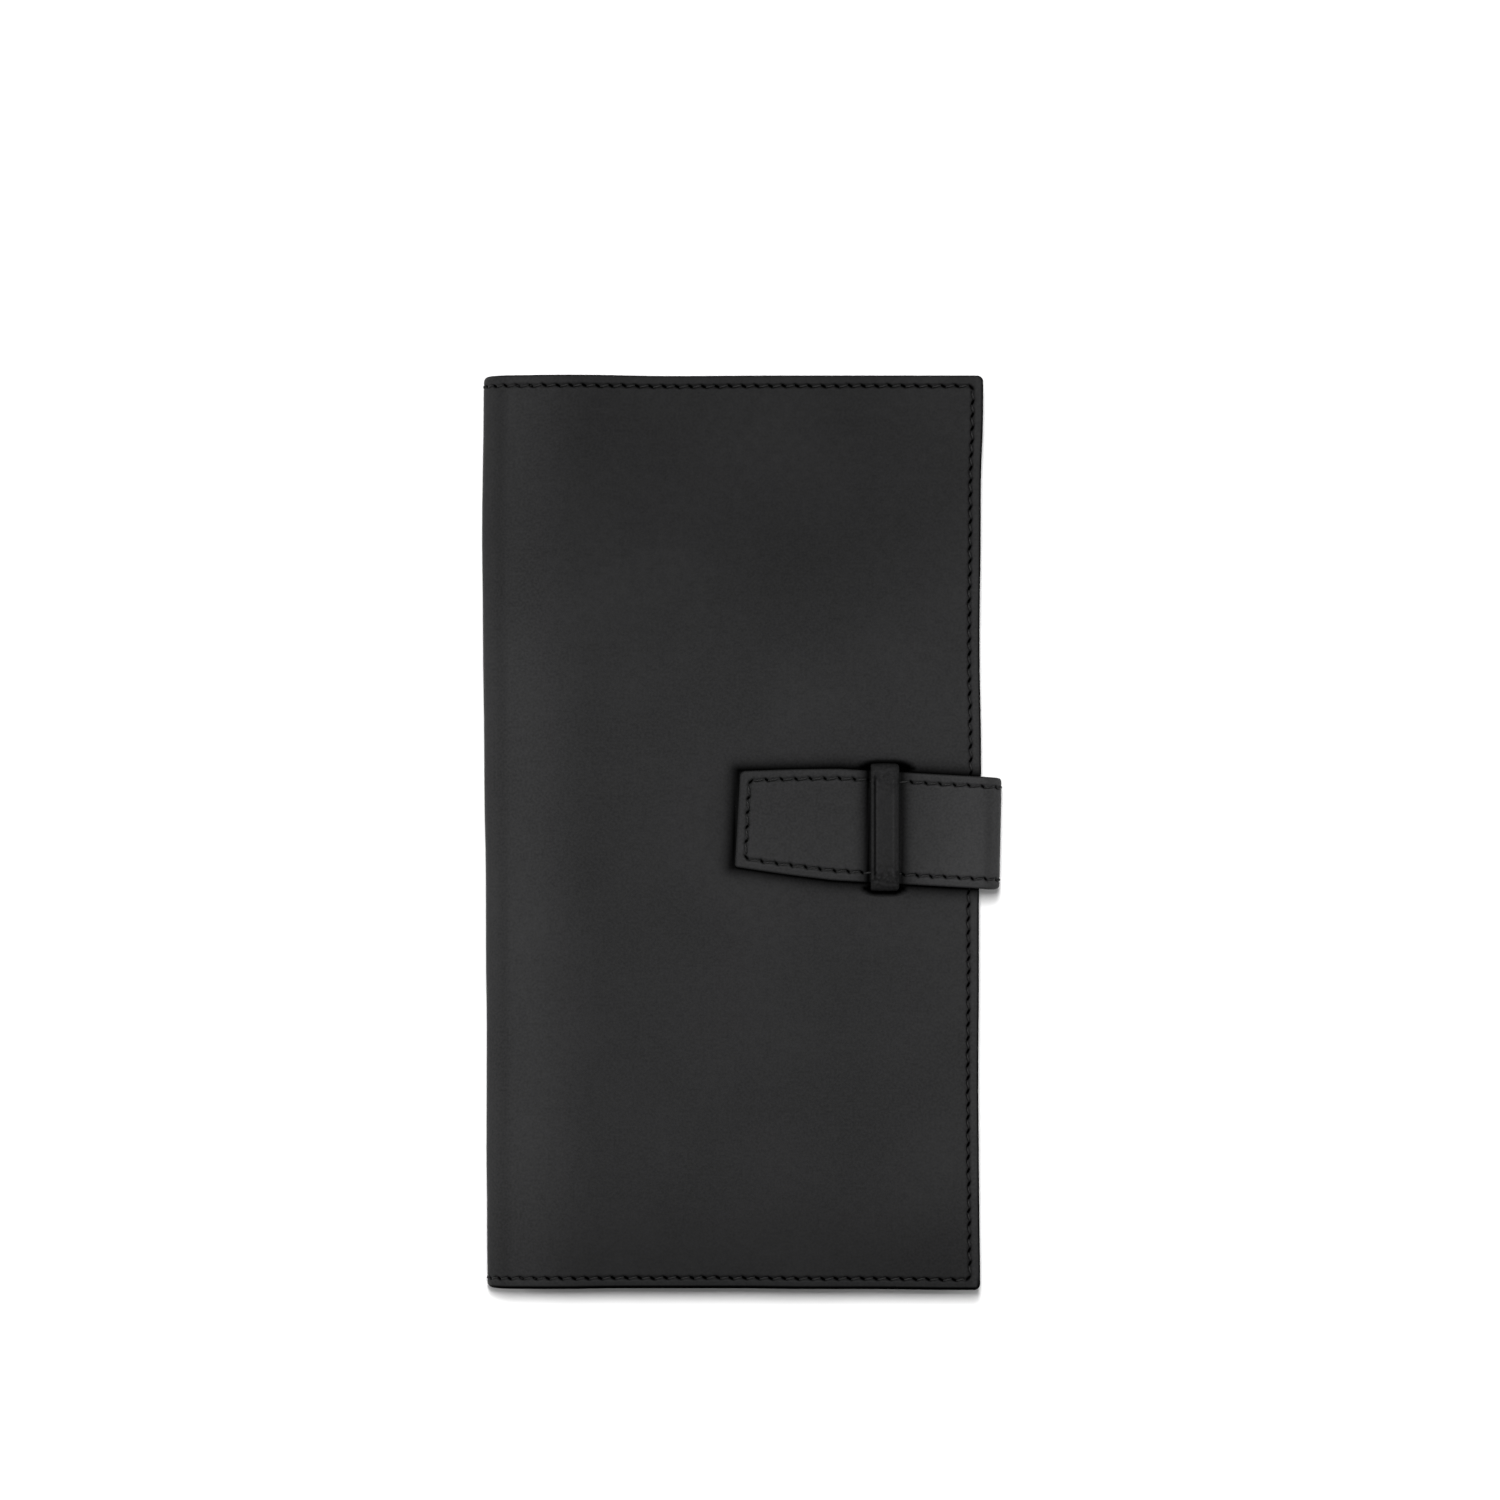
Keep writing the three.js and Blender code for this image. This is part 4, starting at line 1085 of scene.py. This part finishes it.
POCKET_STEP = 0.4 * MM
POCKET_SEAM_INSET = 2.15 * MM
POCKET_ROUND = 0.3 * MM
POCKET_GAP = 0.27 * MM
POCKET_EASE = 7 * MM
POCKET_GROOVE_DEPTH = 0.15 * MM
POCKET_HOLE_DEPTH = 0.35 * MM
POCKET_GROOVE_SHADE = 0.35
POCKET_PAINT = 0.25 * MM
MOUTH_CREASE_INSET = 2.2 * MM
MOUTH_CREASE_WIDTH = 0.3 * MM
MOUTH_CREASE_DEPTH = 0.15 * MM
MOUTH_CREASE_SHADE = 0.4
POCKET_RINGS = MM * np.array([0.0, 0.03, 0.12, 0.3, 0.8, 1.4, 1.7, 1.95, 2.15, 2.35, 2.6, 2.9, 3.4, 4.2])
POCKET_UNDER_RINGS = MM * np.array([0.0, 3.0])
POCKET_LATTICE = (18, 14)
POCKET_SEED = 40
POCKET_EDGES = BOTTOM, SPINE_SIDE, HEAD, FORE = range(4)


def pocket(node, sewn, mouth, layer, faces_up):
    """A pocket panel over the solid of the same name. Its sewn edges are drawn down onto the layers below by
    the gaps of all of them, layer times a gap, and its mouth has a creased line along it."""
    low, high = (np.array(corner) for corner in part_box(node))
    width, thickness = high[0] - low[0], high[2] - low[2]
    sides = [[(0, low[1])], [(width, low[1])], [(width, high[1])], [(0, high[1])]]
    cut = Cut(sides, [POCKET_STEP for _ in sides])
    inner = drawn_in(cut.corners, [POCKET_SEAM_INSET])[0]

    def seam_end(side, corner, next_side):
        """Where a side's seam ends at a corner: on the next side's seam, or at the edge if it has none."""
        if next_side in sewn:
            return inner[corner]
        return np.where(cut.inward[side] == 0, cut.corners[corner], inner[corner])

    lines = []
    for side in sewn:
        before, after = (side - 1) % len(sides), (side + 1) % len(sides)
        lines.append([seam_end(side, side, before), seam_end(side, after, after)])
    seam = Seam(lines, STITCH_PITCH, POCKET_SEED + layer)

    def mouth_crease(flat):
        return bell(cut.edge_distance(flat, mouth), MOUTH_CREASE_INSET, MOUTH_CREASE_WIDTH)

    def place(flat, lift):
        sewn_down = 1 - smooth_step(cut.edge_distance(flat, sewn), 0, POCKET_EASE)
        z = lift - POCKET_GAP * layer * sewn_down
        z = high[2] + z if faces_up else low[2] - z
        return np.stack([high[0] - flat[..., 0], flat[..., 1], z], -1)

    def top(flat):
        lift = -edge_drop(cut.edge_distance(flat, POCKET_EDGES), POCKET_ROUND)
        lift = lift - MOUTH_CREASE_DEPTH * mouth_crease(flat)
        return lift - POCKET_GROOVE_DEPTH * seam.groove(flat) - POCKET_HOLE_DEPTH * seam.holes(flat)

    def marks(flat, on_top):
        # Painted shade in the seam's groove and holes and in the mouth's crease
        shade = POCKET_GROOVE_SHADE * seam.groove(flat) + seam.holes(flat)
        shade = np.clip(shade + MOUTH_CREASE_SHADE * mouth_crease(flat), 0, 1)
        paint = ramp(cut.edge_distance(flat, POCKET_EDGES), POCKET_PAINT, 0)
        return leather_marks(on_top, shade, paint)

    panel = laid_leather(
        node + "_panel", cut, place, top, level(-thickness), marks, POCKET_RINGS, POCKET_UNDER_RINGS,
        [lattice_lines(count) for count in POCKET_LATTICE],
    )
    return panel, seam.threads(node + "_stitches", place, level(THREAD_SUNK))


# Materials

# A noise has a scale in cells to the metre, a detail and a roughness, and a bump has a strength and a depth
CLOUDS = (24, 3.0, 0.5)
SPOTS = (420, 4.0, 0.6)
PALE_GRAIN = (1500, 2.0, 0.6)
CREASES = (1500, 3.0, 0.65)
SCUFFS = (800, 2.0, 0.6)
FLECKS = (900, 6.0, 0.7)
NOISE_WIDE = (0.3, 0.7)
NOISE_MIDDLE = (0.35, 0.65)
NOISE_SCUFFS = (0.42, 0.6)
CALF_PORE = 0.55 * MM
LINING_PORE = 0.4 * MM
PORE_BUMP = (0.14, 0.05 * MM)
CREASE_BUMP = (0.2, 0.05 * MM)
CALF_SHINE = 0.06
CLOUD_ROUGHNESS = 0.03
SPOT_ROUGHNESS = 0.02
SHADE_ROUGHNESS = 0.4

# Tones of calf as shares of its own tone, and how far spots, grain, and scuffs with painted shade go to
# theirs
CLOUD_TONES = (0.84, 1.18)
SPOT_TONE = 0.7
SPOT_SHARE = 0.45
GRAIN_TONE = 1.5
GRAIN_SHARE = 0.75
SCUFF_AND_SHADE_TONE = 0.2
SCUFF_AND_SHADE_SHARE = 0.85
PAINT_TONE = 0.6
SHADE_TONE = 0.02
PAINTED_LIGHT_FULL = 3
PAINTED_LIGHT_GAIN = 2.5
BLUE_CAST = 1.02

# Thread and board
PLY_SCALE = 1.6
PLY_DISTORTION = 0.6
PLY_TONES = (0.5, 1.2)
PLY_ROUGHNESS = (0.75, 0.55)
PLY_BUMP = (0.5, 0.05 * MM)
WAX_SHINE = 0.2
BOARD_DARK = (0.16, 0.14, 0.11, 1)
BOARD_PALE = (0.30, 0.27, 0.22, 1)
BOARD_ROUGHNESS = (0.95, 0.8)
BOARD_BUMP = (0.3, 0.1 * MM)


def feed(tree, node, inputs):
    """Sets a node's inputs, each from a socket that is linked to it or from a plain value."""
    for name, value in inputs.items():
        if isinstance(value, bpy.types.NodeSocket):
            tree.links.new(value, node.inputs[name])
        else:
            node.inputs[name].default_value = value


def shader_node(tree, kind, output, inputs, **settings):
    """An output of a new node. Its settings come first, because they decide which inputs it has."""
    node = tree.nodes.new("ShaderNode" + kind)
    for setting, value in settings.items():
        setattr(node, setting, value)
    feed(tree, node, inputs)
    return node.outputs[output]


def noise(tree, vector, scale, detail, roughness):
    """A noise over places, from about 0 to 1."""
    inputs = {"Vector": vector, "Scale": scale, "Detail": detail, "Roughness": roughness}
    return shader_node(tree, "TexNoise", "Fac", inputs)


def spread(tree, value, given, wanted=(0, 1)):
    """A value between two given limits, stretched to two wanted ones."""
    limits = zip(("From Min", "From Max", "To Min", "To Max"), (*given, *wanted))
    return shader_node(tree, "MapRange", "Result", {"Value": value, **dict(limits)})


def blended(tree, share, first, second):
    """Colour from first to second by share."""
    return shader_node(tree, "Mix", "Result", {"Factor": share, "A": first, "B": second}, data_type="RGBA")


def scaled(tree, colour, factor):
    """A colour times a factor."""
    return shader_node(tree, "VectorMath", "Vector", {0: colour, "Scale": factor}, operation="SCALE")


def arithmetic(tree, operation, first, second):
    """The sum or product of two values."""
    return shader_node(tree, "Math", 0, {0: first, 1: second}, operation=operation)


def bumped(tree, height, bump, **below):
    """A normal raised by a height, over another normal if one is given."""
    strength, depth = bump
    inputs = {"Strength": strength, "Distance": depth, "Height": height, **below}
    return shader_node(tree, "Bump", "Normal", inputs)


def mark(tree, name):
    """A mark that the piece's points carry."""
    return shader_node(tree, "Attribute", "Fac", {}, attribute_name=name)


def flat_cut(tree):
    """Places on the flat cut, or along and round a stitch."""
    return shader_node(tree, "UVMap", "UV", {}, uv_map="cut")


def grey(tone):
    """A grey with a slightly blue cast."""
    return (tone, tone, tone * BLUE_CAST, 1)


def new_material(name):
    """A new material, its node tree and its shader."""
    material = bpy.data.materials.new(name)
    material.use_nodes = True
    tree = material.node_tree
    return material, tree, tree.nodes["Principled BSDF"]


def calf_leather(name, tone, roughness, pore_size=CALF_PORE):
    """Smooth calf: a cloudy tone, fine pores and faint creases, and dark paint on cut edges. Painted shade
    makes it black, without reflection, in the stitch holes and wherever the points carry it; painted light
    makes it paler, and near the keeper's turns scuffs with painted shade darken it. It is worked out on the
    flat cut, so the grain stays with the leather when it bends."""
    material, tree, shader = new_material(name)
    cut = flat_cut(tree)
    clouds = noise(tree, cut, *CLOUDS)
    spots = noise(tree, cut, *SPOTS)
    grain = noise(tree, cut, *PALE_GRAIN)
    shade = mark(tree, "seam_shade")
    tint = blended(tree, spread(tree, clouds, NOISE_WIDE), *(grey(share * tone) for share in CLOUD_TONES))
    tint = blended(tree, spread(tree, spots, NOISE_MIDDLE, (0, SPOT_SHARE)), tint, grey(SPOT_TONE * tone))
    tint = blended(tree, spread(tree, grain, NOISE_MIDDLE, (0, GRAIN_SHARE)), tint, grey(GRAIN_TONE * tone))
    painted_lit = spread(tree, mark(tree, "worn_pale"), (0, PAINTED_LIGHT_FULL))
    tint = blended(tree, painted_lit, tint, scaled(tree, tint, PAINTED_LIGHT_GAIN))
    scuffs_and_shade = spread(tree, noise(tree, cut, *SCUFFS), NOISE_SCUFFS, (0, SCUFF_AND_SHADE_SHARE))
    scuffs_and_shade = arithmetic(tree, "MULTIPLY", mark(tree, "scuffs_and_turn_shade"), scuffs_and_shade)
    tint = blended(tree, scuffs_and_shade, tint, grey(SCUFF_AND_SHADE_TONE * tone))
    tint = blended(tree, mark(tree, "edge_paint"), tint, grey(PAINT_TONE * tone))
    tint = blended(tree, shade, tint, grey(SHADE_TONE * tone))
    limits = (roughness + CLOUD_ROUGHNESS, roughness - CLOUD_ROUGHNESS)
    rough = spread(tree, clouds, NOISE_WIDE, limits)
    spot_rough = spread(tree, spots, NOISE_WIDE, (-SPOT_ROUGHNESS, SPOT_ROUGHNESS))
    rough = arithmetic(tree, "ADD", rough, spot_rough)
    rough = arithmetic(tree, "ADD", rough, arithmetic(tree, "MULTIPLY", shade, SHADE_ROUGHNESS))
    pores = shader_node(tree, "TexVoronoi", "Distance", {"Vector": cut, "Scale": 1 / pore_size})
    pored = bumped(tree, pores, PORE_BUMP)
    feed(tree, shader, {
        "Base Color": tint,
        # Painted shade also takes away the reflection
        "Specular Tint": blended(tree, shade, grey(1.0), grey(0.0)),
        "Specular IOR Level": CALF_SHINE,
        "Roughness": rough,
        "Normal": bumped(tree, noise(tree, cut, *CREASES), CREASE_BUMP, Normal=pored),
    })
    return material


def waxed_thread(name, tone):
    """Two-ply black thread: slanting ridges across the stitch, and a dull wax shine."""
    material, tree, shader = new_material(name)
    waves = {"Vector": flat_cut(tree), "Scale": PLY_SCALE, "Distortion": PLY_DISTORTION}
    ply = shader_node(tree, "TexWave", "Fac", waves, bands_direction="DIAGONAL")
    feed(tree, shader, {
        "Base Color": blended(tree, ply, *(grey(share * tone) for share in PLY_TONES)),
        "Specular IOR Level": WAX_SHINE,
        "Roughness": spread(tree, ply, (0, 1), PLY_ROUGHNESS),
        "Normal": bumped(tree, ply, PLY_BUMP),
    })
    return material


def fibre_board(name):
    """Grey-brown pressed fibre, flecked and matt."""
    material, tree, shader = new_material(name)
    flecks = noise(tree, shader_node(tree, "TexCoord", "Object", {}), *FLECKS)
    feed(tree, shader, {
        "Base Color": blended(tree, spread(tree, flecks, NOISE_MIDDLE), BOARD_DARK, BOARD_PALE),
        "Roughness": spread(tree, flecks, NOISE_WIDE, BOARD_ROUGHNESS),
        "Normal": bumped(tree, flecks, BOARD_BUMP),
    })
    return material


def coated(piece, material):
    """Gives a piece its one material."""
    piece.data.materials.clear()
    piece.data.materials.append(material)


def dressed(piece, material, slot):
    """Gives a piece its material; its slot is not used."""
    coated(piece, material)
    return piece


COVER_CALF = calf_leather("black_cover_calf", tone=0.0062, roughness=0.58)
STRAP_CALF = calf_leather("black_strap_calf", tone=0.0108, roughness=0.56)
KEEPER_CALF = calf_leather("black_keeper_calf", tone=0.0073, roughness=0.58)
POCKET_CALF = calf_leather("black_pocket_calf", tone=0.0111, roughness=0.6)
LINING_CALF = calf_leather("black_lining_calf", tone=0.0093, roughness=0.64, pore_size=LINING_PORE)
THREAD = waxed_thread("black_waxed_thread", tone=0.008)
BOARD = fibre_board("stiffener_board")


# Assembly


def bends_at_spine(piece, is_front):
    """Leather that turns at one edge of the spine: its place is baked into its mesh, front or back alike."""
    if is_front:
        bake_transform(piece)
    else:
        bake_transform(piece)


front_leather, front_stitches = cover_leather("front_cover", True, seed=7)
back_leather, back_stitches = cover_leather("back_cover", False, seed=8)
front_inside, front_inside_stitches = cover_lining("front_inside_lining", True, "slip_pocket", seed=11)
back_inside, back_inside_stitches = cover_lining("back_inside_lining", False, "ticket_pocket", seed=12)
for cover_piece, cover_material, cover_slot, cover_is_front in (
    (front_leather, COVER_CALF, "cover_leather", True),
    (back_leather, COVER_CALF, "cover_leather", False),
    (front_stitches, THREAD, "thread", True),
    (back_stitches, THREAD, "thread", False),
    (front_inside, LINING_CALF, "lining_leather", True),
    (back_inside, LINING_CALF, "lining_leather", False),
    (front_inside_stitches, THREAD, "thread", True),
    (back_inside_stitches, THREAD, "thread", False),
):
    dressed(cover_piece, cover_material, cover_slot)
    bends_at_spine(cover_piece, cover_is_front)
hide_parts("front_cover_leather", "spine_leather")
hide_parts("back_cover_leather", "spine_leather")
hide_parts("front_seam_thread")
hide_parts("back_seam_thread")
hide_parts("front_lining", "spine_lining")
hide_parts("back_lining", "spine_lining")
for board in ("front_stiffener", "back_stiffener"):
    coated(frame["nodes"][board], BOARD)

strap_tab, strap_stitches, strap_lining_stitches = upper_strap(seed=21)
strap_foot, foot_stitches, foot_lining_stitches = lower_strap(seed=31)
dressed(strap_tab, STRAP_CALF, "strap_leather")
dressed(strap_foot, STRAP_CALF, "strap_leather")
for stitches in (strap_stitches, strap_lining_stitches, foot_stitches, foot_lining_stitches):
    dressed(stitches, THREAD, "thread")
for strap_part in (strap_tab, strap_stitches, strap_lining_stitches):
    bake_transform(strap_part)
for strap_part in (strap_foot, foot_stitches, foot_lining_stitches):
    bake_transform(strap_part)
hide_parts("strap_tab_leather", "strap_tab_lining", "strap_wrap_leather", "strap_wrap_lining")
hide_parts("strap_tab_thread")
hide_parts("strap_root", "strap_wrap_leather", "strap_wrap_lining")

keeper = dressed(keeper_band(), KEEPER_CALF, "keeper_leather")
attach(keeper, "front")
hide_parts("keeper_loop")

for pocket_node, sewn_sides, open_sides, pocket_layer, pocket_body in (
    ("ticket_pocket", (BOTTOM, HEAD, FORE), (SPINE_SIDE,), 1, "back"),
    ("boarding_pass_pocket", (BOTTOM, SPINE_SIDE, FORE), (HEAD,), 2, "back"),
    ("slip_pocket", (BOTTOM, HEAD, FORE), (SPINE_SIDE,), 1, "front"),
    ("passport_sleeve", (BOTTOM, HEAD, FORE), (SPINE_SIDE,), 2, "front"),
    ("card_slot_1", (SPINE_SIDE, FORE), (HEAD,), 2, "front"),
    ("card_slot_2", (SPINE_SIDE, FORE), (HEAD,), 3, "front"),
    ("card_slot_3", (SPINE_SIDE, FORE), (HEAD,), 4, "front"),
    ("card_slot_4", (BOTTOM, SPINE_SIDE, FORE), (HEAD,), 5, "front"),
):
    faces_front = pocket_body == "back"
    pocket_panel, pocket_stitches = pocket(pocket_node, sewn_sides, open_sides, pocket_layer, faces_front)
    dressed(pocket_panel, POCKET_CALF, "pocket_leather")
    dressed(pocket_stitches, THREAD, "thread")
    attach(pocket_panel, pocket_body)
    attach(pocket_stitches, pocket_body)
    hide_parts(pocket_node)


# Stage

# The photograph's view is in its own pixels, and lens and sensor are in millimetres
PHOTO_FRAME = 1500
PHOTO_COVER_MIDDLE = (731.6, 831.7)
PHOTO_COVER_HEIGHT = 912.7
CAMERA_LENS = 180
SENSOR = 36

# Floor, lights and sky
FLOOR_HALF = 3.0
FLOOR_Z = -0.15 * MM
FLOOR_TONE = (0.86, 0.86, 0.86, 1)
FLOOR_ROUGHNESS = 0.9
FLOOR_SHINE = 0.1
SIDE_PANEL = (0.5, 0.3)
STRIP_PANEL = (0.16, 0.44)
SKY_COLOUR = (1, 1, 1, 1)
SKY_FROM_TAIL = 0.15
SKY_FROM_HEAD = 0.3


def floor():
    """A plain pale sheet under the holder, far wider than the view."""
    at = np.array([-FLOOR_HALF, 0, FLOOR_HALF])
    x, y = np.meshgrid(at, at)
    grid = np.stack([x, y, np.full(x.shape, FLOOR_Z)], -1)
    mesh = bpy.data.meshes.new("floor")
    mesh.from_pydata(grid.reshape(-1, 3), [], quads(numbered(x.shape)).tolist())
    material, tree, shader = new_material("pale_floor")
    finish = {"Base Color": FLOOR_TONE, "Roughness": FLOOR_ROUGHNESS, "Specular IOR Level": FLOOR_SHINE}
    feed(tree, shader, finish)
    mesh.materials.append(material)
    in_scene("floor", mesh)


def soft_light(name, place, size, power):
    """A rectangular light, aimed at the origin."""
    light = bpy.data.lights.new(name, "AREA")
    light.shape = "RECTANGLE"
    light.size, light.size_y = size
    light.energy = power
    lamp = in_scene(name, light)
    lamp.location = place
    lamp.rotation_euler = Vector(place).to_track_quat("Z", "Y").to_euler()
    lamp.visible_camera = False


def photo_camera():
    """Straight down on the front cover, with the frame centred where the photograph's is."""
    pixel = 2 * TOP_Y / PHOTO_COVER_HEIGHT
    middle = PHOTO_FRAME / 2
    camera = bpy.data.cameras.new("camera")
    camera.lens = CAMERA_LENS
    camera.sensor_width = SENSOR
    x = (middle - PHOTO_COVER_MIDDLE[0]) * pixel
    y = (PHOTO_COVER_MIDDLE[1] - middle) * pixel
    distance = PHOTO_FRAME * pixel * CAMERA_LENS / SENSOR
    stand = in_scene("camera", camera)
    stand.location = (x, y, FRONT_Z + distance)
    bpy.context.scene.camera = stand


def soft_sky():
    """White light from all round, weaker from the tail of the holder than from its head."""
    world = bpy.data.worlds.new("studio")
    world.use_nodes = True
    tree = world.node_tree
    way = shader_node(tree, "TexCoord", "Generated", {})
    up_page = shader_node(tree, "SeparateXYZ", "Y", {"Vector": way})
    strength = spread(tree, up_page, (-1, 1), (SKY_FROM_TAIL, SKY_FROM_HEAD))
    feed(tree, tree.nodes["Background"], {"Color": SKY_COLOUR, "Strength": strength})
    bpy.context.scene.world = world


floor()
photo_camera()
soft_light("left_light", place=(-1.25, 0.1, 0.35), size=SIDE_PANEL, power=7.5)
soft_light("right_light", place=(1.25, 0.1, 0.35), size=SIDE_PANEL, power=6)
soft_light("strip_light", place=(0.0, 0.33, 1.9), size=STRIP_PANEL, power=40)
soft_sky()
bpy.context.scene.view_settings.view_transform = "Standard"
